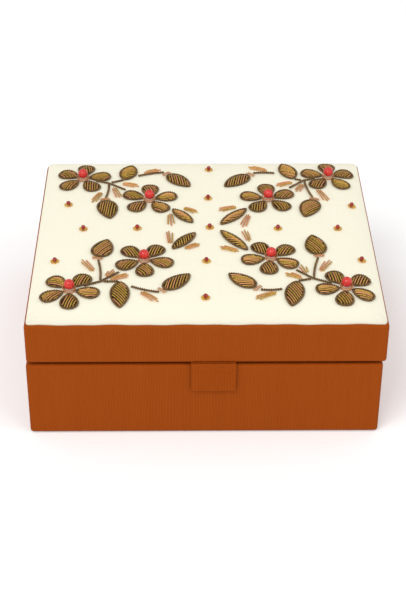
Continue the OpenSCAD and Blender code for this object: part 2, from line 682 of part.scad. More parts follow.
// Slope of the silk at a place, in degrees, along a step to each side of it
function slope(p, step) = atan((silk_z(p + step) - silk_z(p - step)) / norm(2 * step));

// Puts a piece on the silk at each sequin's place, leaning as the silk does there
module at_sequins() {
    r = sequin_d / 2;
    on_panel() for (p = sequin_places)
        translate([p[0], p[1], silk_z(p) + seat]) rotate([slope(p, [0, r]), -slope(p, [r, 0]), 0]) children();
}

module sequins() {
    color(amber) at_sequins() cylinder(h = sequin_t, d = sequin_d);
}

module seed_beads() {
    color(red) at_sequins() translate([0, 0, sequin_t + seed_d / 2]) sphere(d = seed_d);
}

base_bottom_board();
base_front_board();
base_back_board();
base_left_board();
base_right_board();
base_cover();
underside_felt();
base_lining();
floor_pad();
lid_top_board();
lid_front_board();
lid_back_board();
lid_left_board();
lid_right_board();
lid_cover();
lid_lining();
ceiling_pad();
hinge_cloth();
inner_hinge_strip();
tab_root();
pull_tab();
panel_card();
panel_wadding();
panel_silk();
petals();
leaves();
buds();
stems();
sprays();
bead_collars();
calyx_collars();
coral_beads();
sequins();
seed_beads();
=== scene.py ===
"""Looks for a cloth-covered keepsake box whose padded lid panel carries sewn sprigs, beads and sequins."""

from __future__ import annotations

import json
import logging
import math
import random
from dataclasses import dataclass, field
from enum import Enum

import bpy
from mathutils import Matrix, Vector

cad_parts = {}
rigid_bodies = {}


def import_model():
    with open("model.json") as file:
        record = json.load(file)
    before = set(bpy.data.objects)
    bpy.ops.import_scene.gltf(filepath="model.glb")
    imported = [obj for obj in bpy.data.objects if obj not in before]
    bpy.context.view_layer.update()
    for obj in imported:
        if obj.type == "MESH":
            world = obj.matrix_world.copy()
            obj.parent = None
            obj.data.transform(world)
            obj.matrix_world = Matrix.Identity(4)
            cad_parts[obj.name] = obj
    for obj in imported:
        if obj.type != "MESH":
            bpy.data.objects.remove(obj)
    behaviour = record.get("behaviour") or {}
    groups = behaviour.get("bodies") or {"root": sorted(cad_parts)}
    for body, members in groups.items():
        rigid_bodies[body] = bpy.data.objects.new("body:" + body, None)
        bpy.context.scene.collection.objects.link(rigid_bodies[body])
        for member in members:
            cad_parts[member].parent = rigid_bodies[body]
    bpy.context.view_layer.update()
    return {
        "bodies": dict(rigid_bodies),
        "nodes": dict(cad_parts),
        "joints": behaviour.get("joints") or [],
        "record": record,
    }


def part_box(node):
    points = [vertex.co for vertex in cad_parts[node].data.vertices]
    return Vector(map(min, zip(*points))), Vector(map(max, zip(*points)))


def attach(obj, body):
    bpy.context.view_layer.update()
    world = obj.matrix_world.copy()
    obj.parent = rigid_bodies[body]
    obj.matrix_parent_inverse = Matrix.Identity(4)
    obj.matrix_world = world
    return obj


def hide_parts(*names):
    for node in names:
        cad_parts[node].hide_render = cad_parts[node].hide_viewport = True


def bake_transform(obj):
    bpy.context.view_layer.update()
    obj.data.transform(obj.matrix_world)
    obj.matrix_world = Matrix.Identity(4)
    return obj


LOG = logging.getLogger("keepsake_box")
MM = 0.001
NO_SIZE = 1e-9
Point = tuple[float, float]
Place = tuple[float, float, float]
Face = tuple[int, ...]
Colour = tuple[float, float, float, float]
Piece = bpy.types.Object
Material = bpy.types.Material
Tree = bpy.types.NodeTree
Socket = bpy.types.NodeSocket


def linear(red: int, green: int, blue: int) -> Colour:
    """Turns a colour as a screen shows it into the linear colour that a shader reads.

    Args:
        red: Red, from 0 to 255.
        green: Green, from 0 to 255.
        blue: Blue, from 0 to 255.

    Returns:
        The linear colour with an alpha of 1.
    """

    def one(value: int) -> float:
        """Turns one channel."""
        share = value / 255
        return share / 12.92 if share <= 0.04045 else ((share + 0.055) / 1.055) ** 2.4

    return (one(red), one(green), one(blue), 1.0)


def add(a: Point, b: Point, share: float) -> Point:
    """Adds a share of b to a."""
    return (a[0] + b[0] * share, a[1] + b[1] * share)


def between(a: Point, b: Point, share: float) -> Point:
    """The place that lies a share of the way from a to b."""
    return (a[0] + (b[0] - a[0]) * share, a[1] + (b[1] - a[1]) * share)


def toward(a: Point, b: Point, gap: float) -> Point:
    """The place that lies gap millimetres from a on the way to b."""
    return between(a, b, gap / math.dist(a, b))


def unit(a: Point, b: Point) -> Point:
    """The direction from a to b."""
    length = math.dist(a, b)
    return ((b[0] - a[0]) / length, (b[1] - a[1]) / length)


def bow(a: Point, bend: Point, b: Point, steps: int) -> list[Point]:
    """A smooth route from a to b that bows towards bend."""
    shares = [i / steps for i in range(steps + 1)]
    return [between(between(a, bend, t), between(bend, b, t), t) for t in shares]


@dataclass
class Sculpt:
    """Points, edges and faces of one piece, gathered in millimetres."""

    points: list[Place] = field(default_factory=list)
    edges: list[tuple[int, int]] = field(default_factory=list)
    faces: list[Face] = field(default_factory=list)
    tones: list[float] = field(default_factory=list)

    def ring_stack(self, rings: list[list[Place]]) -> int:
        """Joins closed rings of equal count with quads.

        Args:
            rings: Rings from the first to the last, each with the same number of points.

        Returns:
            The index of the first point of the first ring.
        """
        first = len(self.points)
        count = len(rings[0])
        for ring in rings:
            self.points.extend(ring)
        for i in range(len(rings) - 1):
            for k in range(count):
                a = first + i * count + k
                b = first + i * count + (k + 1) % count
                self.faces.append((a, b, b + count, a + count))
        return first

    def cap(self, first: int, count: int, tip: Place, up: bool) -> None:
        """Closes a ring with a fan to one point.

        Args:
            first: The index of the first point of the ring.
            count: Points in the ring.
            tip: The point that closes it.
            up: Whether the fan looks the way that an anticlockwise ring does.
        """
        self.points.append(tip)
        last = len(self.points) - 1
        for k in range(count):
            a, b = first + k, first + (k + 1) % count
            self.faces.append((a, b, last) if up else (b, a, last))

    def line(self, route: list[Place], closed: bool = False, tone: float = 0.5) -> None:
        """Adds a route as a run of edges.

        Args:
            route: The places that the route passes.
            closed: Whether it comes back to its start.
            tone: A number kept with each of its points, for the finish to read.
        """
        first = len(self.points)
        self.points.extend(route)
        self.tones.extend([tone] * len(route))
        self.edges.extend((first + i, first + i + 1) for i in range(len(route) - 1))
        if closed:
            self.edges.append((first + len(route) - 1, first))

    def ends(self, first: int, count: int, rings: int) -> None:
        """Closes both ends of a stack of flat rings that run along one face and back along the other.

        Args:
            first: The index of the first point of the first ring.
            count: Points in each ring.
            rings: How many rings there are.
        """
        for ring, last in ((0, False), (rings - 1, True)):
            start = first + ring * count
            for k in range((count - 1) // 2):
                face = (start + k, start + k + 1, start + count - 2 - k, start + count - 1 - k)
                face = tuple(dict.fromkeys(face))
                self.faces.append(face if last else tuple(reversed(face)))

    def build(self, name: str, material: Material | None = None, smooth: bool = True) -> Piece:
        """Makes the Blender object.

        Args:
            name: The piece's name.
            material: The finish of all its faces.
            smooth: Whether its faces are shaded smooth.

        Returns:
            The new object, at the origin.
        """
        mesh = bpy.data.meshes.new(name)
        mesh.from_pydata([Vector(p) * MM for p in self.points], self.edges, self.faces)
        if self.tones:
            attribute = mesh.attributes.new("tone", "FLOAT", "POINT")
            attribute.data.foreach_set("value", self.tones)
        if smooth:
            mesh.shade_smooth()
        mesh.update()
        piece = bpy.data.objects.new(name, mesh)
        bpy.context.scene.collection.objects.link(piece)
        if material:
            mesh.materials.append(material)
        return piece


def rounded_outline(width: float, depth: float, radii: Point, step: float,
                    corner_steps: int = 8) -> list[Point]:
    """Outline of a rounded rectangle round the origin, anticlockwise.

    Args:
        width: Its size along X.
        depth: Its size along Y.
        radii: Its corner radius at the back and at the front.
        step: About how far apart points lie along its sides.
        corner_steps: Steps in each corner.

    Returns:
        The outline's points.
    """
    back, front = radii
    corners = ((1, 1, back), (-1, 1, back), (-1, -1, front), (1, -1, front))

    def on_corner(index: int, turn: float) -> Point:
        """A place on a corner, by the way that it faces.

        Args:
            index: Which corner, counted anticlockwise from the back right.
            turn: The way that the place faces, in radians.

        Returns:
            The place.
        """
        side, end, radius = corners[index]
        return (side * (width / 2 - radius) + radius * math.cos(turn),
                end * (depth / 2 - radius) + radius * math.sin(turn))

    outline: list[Point] = []
    for quarter in range(4):
        for i in range(corner_steps + 1):
            outline.append(on_corner(quarter, math.radians(90 * quarter + 90 * i / corner_steps)))
        after = on_corner((quarter + 1) % 4, math.radians(90 * quarter + 90))
        last = outline[-1]
        steps = max(2, round(math.dist(last, after) / step))
        outline.extend(between(last, after, i / steps) for i in range(1, steps))
    return outline


class NodeCanvas:
    """Places and joins nodes in a shader or geometry tree."""

    def __init__(self, tree: Tree) -> None:
        """Keeps the tree."""
        self.tree = tree

    def node(self, kind: str, inputs: dict[str | int, object] | None = None,
             **settings: object) -> bpy.types.Node:
        """Adds a node.

        Args:
            kind: The node's Blender type.
            inputs: Values or sockets for its inputs, by name or number.
            settings: Properties of the node itself.

        Returns:
            The new node.
        """
        made = self.tree.nodes.new(kind)
        for key, value in settings.items():
            setattr(made, key, value)
        for key, value in (inputs or {}).items():
            if isinstance(value, Socket):
                self.tree.links.new(value, made.inputs[key])
            else:
                made.inputs[key].default_value = value
        return made

    def math(self, operation: str, a: object, b: object = 0.0, clamp: bool = False) -> Socket:
        """One Math node's result."""
        return self.node("ShaderNodeMath", {0: a, 1: b}, operation=operation, use_clamp=clamp).outputs[0]

    def times(self, a: object, b: object) -> Socket:
        """Two numbers multiplied."""
        return self.math("MULTIPLY", a, b)

    def noise(self, place: Socket, scale: object, detail: float = 3.0) -> Socket:
        """Soft noise at a place."""
        return self.node("ShaderNodeTexNoise", {"Vector": place, "Scale": scale, "Detail": detail}).outputs[0]

    def place(self, stretch: Place | None = None) -> Socket:
        """The place on the object, stretched where that is asked for.

        Args:
            stretch: How much the place counts along X, Y and Z, or None for all alike.

        Returns:
            The socket with the place.
        """
        here = self.node("ShaderNodeTexCoord").outputs["Object"]
        if stretch is None:
            return here
        return self.node("ShaderNodeMapping", {"Vector": here, "Scale": stretch}).outputs[0]

    def mix(self, share: object, a: object, b: object) -> Socket:
        """A mix of two colours.

        Args:
            share: How much of b there is, from 0 to 1.
            a: A colour or its socket.
            b: A colour or its socket.

        Returns:
            The socket with the mixed colour.
        """
        made = self.node("ShaderNodeMix", {"Factor": share}, data_type="RGBA")
        for socket, value in ((made.inputs[6], a), (made.inputs[7], b)):
            if isinstance(value, Socket):
                self.tree.links.new(value, socket)
            else:
                socket.default_value = value
        return made.outputs[2]

    def ranged(self, value: object, low: float, high: float) -> Socket:
        """A value carried from its range to 0 and 1, held at its ends."""
        return self.node("ShaderNodeMapRange", {0: value, 1: low, 2: high}).outputs[0]


def shader_group(name: str, inputs: dict[str, float],
                 outputs: tuple[str, ...]) -> tuple[NodeCanvas, bpy.types.Node, bpy.types.Node]:
    """Starts a shader node group.

    Args:
        name: The group's name.
        inputs: Its number inputs with their usual values.
        outputs: Its outputs, which are all numbers.

    Returns:
        The canvas to draw on, the group's input node and its output node.
    """
    tree = bpy.data.node_groups.new(name, "ShaderNodeTree")
    for label, value in inputs.items():
        socket = tree.interface.new_socket(label, in_out="INPUT", socket_type="NodeSocketFloat")
        socket.default_value = value
    for label in outputs:
        tree.interface.new_socket(label, in_out="OUTPUT", socket_type="NodeSocketFloat")
    canvas = NodeCanvas(tree)
    return canvas, tree.nodes.new("NodeGroupInput"), tree.nodes.new("NodeGroupOutput")


def ribs_group() -> Tree:
    """Fine ribs that run up the walls of the box, with slubs along them, and painted shade that darkens the
    grooves between the ribs.

    Returns:
        The group.
    """
    drift_scale, drift_mm = 160.0, 0.4
    fine_scale, broad_scale, stretch = 900.0, 220.0, (1.0, 1.0, 0.06)
    slub_height, slub_shade, groove_shade_paint = 6.0, 3.0, 0.25
    canvas, given, result = shader_group("upright_ribs", {"Pitch": 0.8, "Slub": 0.5}, ("Height", "Shade"))
    place = canvas.place()
    here = canvas.node("ShaderNodeSeparateXYZ", {0: place})
    facing = canvas.node("ShaderNodeSeparateXYZ", {0: canvas.node("ShaderNodeNewGeometry").outputs["Normal"]})
    sideways = canvas.math("GREATER_THAN", canvas.math("ABSOLUTE", facing.outputs[0]),
                           canvas.math("ABSOLUTE", facing.outputs[1]))
    run = canvas.math("ADD", canvas.times(here.outputs[0], canvas.math("SUBTRACT", 1.0, sideways)),
                      canvas.times(here.outputs[1], sideways))
    run = canvas.math("ADD", run, canvas.times(canvas.noise(place, drift_scale, detail=2.0), drift_mm * MM))
    turns = canvas.math("DIVIDE", run, canvas.times(given.outputs["Pitch"], MM))
    wave = canvas.math("SINE", canvas.times(turns, 2 * math.pi))
    stretched = canvas.place(stretch)
    fine, broad = canvas.noise(stretched, fine_scale), canvas.noise(stretched, broad_scale, detail=2.0)
    slubs = canvas.math("ADD", fine, broad)
    uneven = canvas.times(canvas.math("SUBTRACT", slubs, 1.0), given.outputs["Slub"])
    height = canvas.math("ADD", wave, canvas.times(uneven, slub_height))
    # the rib wave also darkens the colour in the grooves: painted shade
    shade = canvas.math("ADD", canvas.times(wave, groove_shade_paint), canvas.times(uneven, slub_shade))
    canvas.tree.links.new(height, result.inputs["Height"])
    canvas.tree.links.new(canvas.math("ADD", shade, 0.5, clamp=True), result.inputs["Shade"])
    return canvas.tree


def weave_group() -> Tree:
    """A plain weave seen in plan, with thicker threads here and there.

    Returns:
        The group.
    """
    slub_scale, along_x, along_y = 700.0, (0.05, 1.0, 1.0), (1.0, 0.05, 1.0)
    slub_height, slub_shade = 6.0, 3.0
    canvas, given, result = shader_group("plain_weave", {"Pitch": 0.4, "Slub": 0.5}, ("Height", "Shade"))
    here = canvas.node("ShaderNodeSeparateXYZ", {0: canvas.place()})
    step = canvas.times(given.outputs["Pitch"], MM)
    waves = []
    for k in (0, 1):
        turns = canvas.math("DIVIDE", here.outputs[k], step)
        waves.append(canvas.math("SINE", canvas.times(turns, 2 * math.pi)))
    weave = canvas.times(waves[0], waves[1])
    slubs = [canvas.noise(canvas.place(stretch), slub_scale) for stretch in (along_x, along_y)]
    uneven = canvas.math("SUBTRACT", canvas.math("ADD", slubs[0], slubs[1]), 1.0)
    uneven = canvas.times(uneven, given.outputs["Slub"])
    height = canvas.math("ADD", weave, canvas.times(uneven, slub_height))
    shade = canvas.math("ADD", 0.5, canvas.times(uneven, slub_shade), clamp=True)
    canvas.tree.links.new(height, result.inputs["Height"])
    canvas.tree.links.new(shade, result.inputs["Shade"])
    return canvas.tree


def mottle_group() -> Tree:
    """Soft patches and fine specks, for wear, felt and board.

    Returns:
        The group.
    """
    canvas, given, result = shader_group("mottle", {"Patch": 60.0, "Speck": 2500.0}, ("Patches", "Specks"))
    place = canvas.place()
    patches = canvas.noise(place, given.outputs["Patch"])
    specks = canvas.noise(place, given.outputs["Speck"], detail=2.0)
    canvas.tree.links.new(patches, result.inputs["Patches"])
    canvas.tree.links.new(specks, result.inputs["Specks"])
    return canvas.tree


class Texture(Enum):
    """The shared effects that a finish can read."""

    RIBS = "upright_ribs"
    WEAVE = "plain_weave"
    MOTTLE = "mottle"


@dataclass(frozen=True)
class Finish:
    """One finish: two colours, the effect that mixes them, and how the surface takes the light."""

    name: str
    light: Colour
    dark: Colour
    texture: Texture
    sizes: tuple[float, float]
    roughness: float
    relief: float
    metallic: float = 0.0
    relief_mm: float = 0.1
    sheen: float = 0.0
    coat: float = 0.0
    specular: float = 0.3
    tone_colour: Colour | None = None
    tone_share: float = 0.9
    patch_range: Point = (0.3, 0.7)

    def build(self) -> Material:
        """Makes the material.

        Returns:
            The material.
        """
        material = bpy.data.materials.new(self.name)
        material.use_nodes = True
        canvas = NodeCanvas(material.node_tree)
        shader = material.node_tree.nodes["Principled BSDF"]
        effect = canvas.node("ShaderNodeGroup")
        effect.node_tree = bpy.data.node_groups[self.texture.value]
        effect.inputs[0].default_value, effect.inputs[1].default_value = self.sizes
        share, height = effect.outputs[1], effect.outputs[0]
        if self.texture is Texture.MOTTLE:
            share, height = canvas.ranged(effect.outputs[0], *self.patch_range), effect.outputs[1]
        colour = canvas.mix(share, self.dark, self.light)
        if self.tone_colour:
            tone = canvas.node("ShaderNodeAttribute", attribute_name="tone").outputs["Fac"]
            colour = canvas.mix(canvas.times(tone, self.tone_share), colour, self.tone_colour)
        canvas.tree.links.new(colour, shader.inputs["Base Color"])
        shader.inputs["Roughness"].default_value = self.roughness
        shader.inputs["Metallic"].default_value = self.metallic
        shader.inputs["Sheen Weight"].default_value = self.sheen
        shader.inputs["Coat Weight"].default_value = self.coat
        shader.inputs["Specular IOR Level"].default_value = self.specular
        bump = canvas.node("ShaderNodeBump", {
            "Strength": self.relief, "Distance": self.relief_mm * MM, "Height": height})
        canvas.tree.links.new(bump.outputs[0], shader.inputs["Normal"])
        return material


class Wardrobe:
    """All finishes of the box, made once."""

    def __init__(self) -> None:
        """Makes the shared effects and then each finish."""
        ribs_group()
        weave_group()
        mottle_group()
        # the ribs group darkens this cloth's colour in its grooves: painted shade
        self.ribbed = Finish(
            "ribbed_cloth", linear(176, 82, 10), linear(134, 56, 4), Texture.RIBS, (0.85, 0.05),
            roughness=0.8, relief=0.5, relief_mm=0.12, specular=0.12).build()
        # the silk's tone colour darkens its front edge: partly dirt, partly painted shade on the rolled edge
        self.silk = Finish(
            "ivory_silk", linear(255, 252, 232), linear(248, 242, 216), Texture.WEAVE, (0.4, 0.14),
            roughness=0.5, relief=0.25, relief_mm=0.06, sheen=0.1, tone_colour=linear(214, 208, 190)).build()
        self.lining = Finish(
            "lining_cloth", linear(150, 66, 26), linear(126, 52, 18), Texture.WEAVE, (0.35, 0.3),
            roughness=0.45, relief=0.25, relief_mm=0.06, sheen=0.2).build()
        self.board = Finish(
            "greyboard", linear(188, 182, 166), linear(160, 152, 136), Texture.MOTTLE, (90.0, 2200.0),
            roughness=0.9, relief=0.3).build()
        self.card = Finish(
            "panel_card", linear(222, 216, 200), linear(205, 198, 180), Texture.MOTTLE, (80.0, 2400.0),
            roughness=0.85, relief=0.2).build()
        self.felt = Finish(
            "felt", linear(66, 48, 36), linear(44, 30, 22), Texture.MOTTLE, (150.0, 1800.0),
            roughness=0.95, relief=0.7, relief_mm=0.3, sheen=0.3).build()
        self.wadding = Finish(
            "wadding", linear(246, 242, 232), linear(232, 226, 214), Texture.MOTTLE, (120.0, 900.0),
            roughness=1.0, relief=0.8, relief_mm=0.4).build()
        self.cord = Finish(
            "twisted_cord", linear(146, 114, 70), linear(92, 66, 36), Texture.MOTTLE, (700.0, 4000.0),
            roughness=0.6, metallic=0.15, relief=0.4, relief_mm=0.05).build()
        # near-black brown: painted shade that shows in the gaps between purl bits
        self.ground = Finish(
            "stitched_ground", linear(62, 38, 16), linear(30, 18, 8), Texture.MOTTLE, (600.0, 3000.0),
            roughness=0.8, relief=0.5, relief_mm=0.1).build()
        self.purl = Finish(
            "purl_wire", linear(226, 188, 80), linear(156, 118, 40), Texture.MOTTLE, (900.0, 4000.0),
            roughness=0.4, metallic=0.45, relief=0.3, relief_mm=0.04,
            tone_colour=linear(224, 156, 110)).build()
        self.coral = Finish(
            "coral_bead", linear(228, 62, 52), linear(200, 40, 36), Texture.MOTTLE, (400.0, 2500.0),
            roughness=0.25, relief=0.05, coat=0.4).build()
        self.sequin = Finish(
            "foil_sequin", linear(252, 214, 70), linear(238, 150, 40), Texture.MOTTLE, (350.0, 2500.0),
            roughness=0.2, metallic=0.6, relief=0.05, coat=0.5).build()
        self.seed = Finish(
            "seed_bead", linear(176, 36, 24), linear(120, 16, 12), Texture.MOTTLE, (800.0, 3000.0),
            roughness=0.15, relief=0.05, coat=0.6).build()


def geometry_tree(name: str, inputs: dict[str, tuple[str, object]]
                  ) -> tuple[NodeCanvas, bpy.types.Node, bpy.types.Node]:
    """Starts a Geometry Nodes tree with a geometry input and output.

    Args:
        name: The tree's name.
        inputs: Its named inputs, each with a socket type and a value.

    Returns:
        The canvas, the input node and the output node.
    """
    tree = bpy.data.node_groups.new(name, "GeometryNodeTree")
    tree.interface.new_socket("Geometry", in_out="INPUT", socket_type="NodeSocketGeometry")
    for label, (kind, value) in inputs.items():
        socket = tree.interface.new_socket(label, in_out="INPUT", socket_type=kind)
        if value is not None:
            socket.default_value = value
    tree.interface.new_socket("Geometry", in_out="OUTPUT", socket_type="NodeSocketGeometry")
    canvas = NodeCanvas(tree)
    return canvas, tree.nodes.new("NodeGroupInput"), tree.nodes.new("NodeGroupOutput")


def finish_tree(canvas: NodeCanvas, geometry: Socket, given: bpy.types.Node, result: bpy.types.Node) -> None:
    """Ends a tree: smooth shading, real geometry and the finish.

    Args:
        canvas: The canvas of the tree.
        geometry: The socket with what the tree has made.
        given: The tree's input node.
        result: The tree's output node.
    """
    smooth = canvas.node("GeometryNodeSetShadeSmooth", {0: geometry}).outputs[0]
    real = canvas.node("GeometryNodeRealizeInstances", {0: smooth}).outputs[0]
    dressed = canvas.node("GeometryNodeSetMaterial", {"Geometry": real, "Material": given.outputs["Finish"]})
    canvas.tree.links.new(dressed.outputs[0], result.inputs[0])


def cord_tree() -> Tree:
    """A cord of two plies twisted round each other along each route.

    Returns:
        The tree.
    """
    ply_radius, ply_shift = 0.28, 0.22
    canvas, given, result = geometry_tree("two_ply_cord", {
        "Diameter": ("NodeSocketFloat", 1.3 * MM), "Lay": ("NodeSocketFloat", 2.6 * MM),
        "Step": ("NodeSocketFloat", 0.4 * MM), "Sides": ("NodeSocketInt", 6),
        "Finish": ("NodeSocketMaterial", None)})
    curve = canvas.node("GeometryNodeMeshToCurve", {0: given.outputs["Geometry"]}).outputs[0]
    even = canvas.node("GeometryNodeResampleCurve", {
        "Curve": curve, "Length": given.outputs["Step"]}, mode="LENGTH").outputs[0]
    along = canvas.node("GeometryNodeSplineParameter").outputs["Length"]
    turn = canvas.times(canvas.math("DIVIDE", along, given.outputs["Lay"]), 2 * math.pi)
    tilted = canvas.node("GeometryNodeSetCurveTilt", {"Curve": even, "Tilt": turn}).outputs[0]
    both = canvas.node("GeometryNodeJoinGeometry")
    for side in (-1, 1):
        ply = canvas.node("GeometryNodeCurvePrimitiveCircle", {
            "Resolution": given.outputs["Sides"],
            "Radius": canvas.times(given.outputs["Diameter"], ply_radius)}).outputs[0]
        shift = canvas.node("ShaderNodeCombineXYZ", {
            0: canvas.times(given.outputs["Diameter"], ply_shift * side)}).outputs[0]
        moved = canvas.node("GeometryNodeTransform", {"Geometry": ply, "Translation": shift}).outputs[0]
        canvas.tree.links.new(moved, both.inputs[0])
    mesh = canvas.node("GeometryNodeCurveToMesh", {
        "Curve": tilted, "Profile Curve": both.outputs[0], "Fill Caps": True}).outputs[0]
    finish_tree(canvas, mesh, given, result)
    return canvas.tree


def purl_tree() -> Tree:
    """A close coil of fine wire along each route, drawn as a ridged tube.

    Returns:
        The tree.
    """
    groove = 0.16
    canvas, given, result = geometry_tree("purl", {
        "Diameter": ("NodeSocketFloat", 1.1 * MM), "Coil": ("NodeSocketFloat", 0.5 * MM),
        "Sides": ("NodeSocketInt", 6), "Finish": ("NodeSocketMaterial", None)})
    curve = canvas.node("GeometryNodeMeshToCurve", {0: given.outputs["Geometry"]}).outputs[0]
    even = canvas.node("GeometryNodeResampleCurve", {
        "Curve": curve, "Length": canvas.times(given.outputs["Coil"], 0.5)}, mode="LENGTH").outputs[0]
    odd = canvas.math("MODULO", canvas.node("GeometryNodeInputIndex").outputs[0], 2.0)
    ridge = canvas.math("SUBTRACT", 1.0, canvas.times(odd, groove))
    sized = canvas.node("GeometryNodeSetCurveRadius", {"Curve": even, "Radius": ridge}).outputs[0]
    ring = canvas.node("GeometryNodeCurvePrimitiveCircle", {
        "Resolution": given.outputs["Sides"],
        "Radius": canvas.times(given.outputs["Diameter"], 0.5)}).outputs[0]
    tube = canvas.node("GeometryNodeCurveToMesh", {"Curve": sized, "Profile Curve": ring, "Fill Caps": True})
    if "Scale" in tube.inputs:
        canvas.tree.links.new(canvas.node("GeometryNodeInputRadius").outputs[0], tube.inputs["Scale"])
    finish_tree(canvas, tube.outputs[0], given, result)
    return canvas.tree


def scatter_tree() -> Tree:
    """One small piece set at each point, spun by its own amount and then leant with the silk.

    Returns:
        The tree.
    """
    full_turn = 6.28
    canvas, given, result = geometry_tree("sewn_on", {
        "Piece": ("NodeSocketObject", None), "Lean": ("NodeSocketFloat", 0.1), "Seed": ("NodeSocketInt", 3),
        "Finish": ("NodeSocketMaterial", None)})
    piece = canvas.node("GeometryNodeObjectInfo", {"Object": given.outputs["Piece"]}).outputs["Geometry"]
    lean = given.outputs["Lean"]
    back = canvas.times(lean, -1.0)
    low = canvas.node("ShaderNodeCombineXYZ", {0: back, 1: back, 2: 0.0}).outputs[0]
    high = canvas.node("ShaderNodeCombineXYZ", {0: lean, 1: lean, 2: full_turn}).outputs[0]
    turn = canvas.node("FunctionNodeRandomValue", {
        0: low, 1: high, "Seed": given.outputs["Seed"]}, data_type="FLOAT_VECTOR").outputs[0]
    slope = canvas.node("GeometryNodeInputNamedAttribute", {"Name": "slope"}, data_type="FLOAT_VECTOR")
    spun, leant = (canvas.node("FunctionNodeEulerToRotation", {0: euler}).outputs[0]
                   for euler in (turn, slope.outputs[0]))
    both = canvas.node("FunctionNodeRotateRotation", {0: spun, 1: leant}, rotation_space="GLOBAL").outputs[0]
    placed = canvas.node("GeometryNodeInstanceOnPoints", {
        "Points": given.outputs["Geometry"], "Instance": piece, "Rotation": both}).outputs[0]
    finish_tree(canvas, placed, given, result)
    return canvas.tree


def grow(source: Piece, tree: Tree, values: dict[str, object]) -> Piece:
    """Runs a Geometry Nodes tree on a piece and keeps the result as a plain mesh.

    Args:
        source: The piece that holds the routes or points.
        tree: The tree to run.
        values: Values for its named inputs.

    Returns:
        The same object with its new mesh.
    """
    modifier = source.modifiers.new("grown", "NODES")
    modifier.node_group = tree
    keys = {item.name: item.identifier for item in tree.interface.items_tree
            if item.item_type == "SOCKET" and item.in_out == "INPUT"}
    for label, value in values.items():
        modifier[keys[label]] = value
    bpy.context.view_layer.update()
    evaluated = source.evaluated_get(bpy.context.evaluated_depsgraph_get())
    mesh = bpy.data.meshes.new_from_object(evaluated)
    source.modifiers.remove(modifier)
    old = source.data
    source.data = mesh
    bpy.data.meshes.remove(old)
    mesh.name = source.name
    return source


def lathe(name: str, profile: list[Point], sides: int) -> Piece:
    """Turns a closed profile about the Z axis.

    Args:
        name: The new object's name.
        profile: Radius and height of each point of the section, anticlockwise, in millimetres.
        sides: Steps round the axis.

    Returns:
        The turned object.
    """
    sculpt = Sculpt()
    count = len(profile)
    for i in range(sides):
        turn = 2 * math.pi * i / sides
        sculpt.points.extend((r * math.cos(turn), r * math.sin(turn), z) for r, z in profile)
    for i in range(sides):
        for k in range(count):
            a, b = i * count + k, i * count + (k + 1) % count
            c, d = ((i + 1) % sides) * count + k, ((i + 1) % sides) * count + (k + 1) % count
            sculpt.faces.append((a, c, d, b))
    return sculpt.build(name)


def settle(piece: Piece, body: str, slot: str, *nodes: str) -> None:
    """Puts a finished piece on a body and hides what it stands for.

    Args:
        piece: The finished piece.
        body: The body that it rides on.
        slot: The name of its material slot; not used.
        nodes: The CAD nodes that it stands for.
    """
    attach(piece, body)
    if nodes:
        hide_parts(*nodes)
    LOG.info("%s rides on %s", piece.name, body)


def dress(frame: dict, node: str, material: Material) -> None:
    """Gives a CAD node its finish.

    Args:
        node: The node's name.
        material: Its finish.
    """
    mesh = frame["nodes"][node].data
    mesh.materials.clear()
    mesh.materials.append(material)
    LOG.info("%s shows as its solid", node)


@dataclass(frozen=True)
class PanelForm:
    """The padded silk panel's shape, in millimetres, with X and Y counted from its middle."""

    centre_x: float = 0.5
    width: float = 197.6
    depth: float = 177.6
    corners: Point = (4.0, 2.0)
    foot_z: float = 75.0
    edge_z: float = 76.5
    loft: float = 4.1
    tautness: float = 14.0
    seat: float = 0.2

    def swell(self, p: Point) -> float:
        """How full the wadding stands at a place, from 0 to 1.

        Args:
            p: A place, counted from the panel's middle.

        Returns:
            The share.
        """
        x = min(abs(2 * p[0] / self.width), 1.0)
        y = min(abs(2 * p[1] / self.depth), 1.0)
        return (1 - x ** self.tautness) * (1 - y ** self.tautness)

    def height(self, p: Point) -> float:
        """Height of the silk's face at a place."""
        return self.edge_z + self.loft * self.swell(p)

    def at(self, p: Point, above: float) -> Place:
        """A place above the silk, in the box's frame."""
        return (p[0] + self.centre_x, p[1], self.height(p) + above)

    def lean(self, p: Point, reach: float) -> Place:
        """How a flat piece that reaches so far leans with the silk, as turns about X, Y and Z.

        Args:
            p: A place, counted from the panel's middle.
            reach: How far the flat piece reaches from there.

        Returns:
            The turns, in radians.
        """
        back = self.height((p[0], p[1] + reach)) - self.height((p[0], p[1] - reach))
        right = self.height((p[0] + reach, p[1])) - self.height((p[0] - reach, p[1]))
        return (math.atan2(back, 2 * reach), -math.atan2(right, 2 * reach), 0.0)


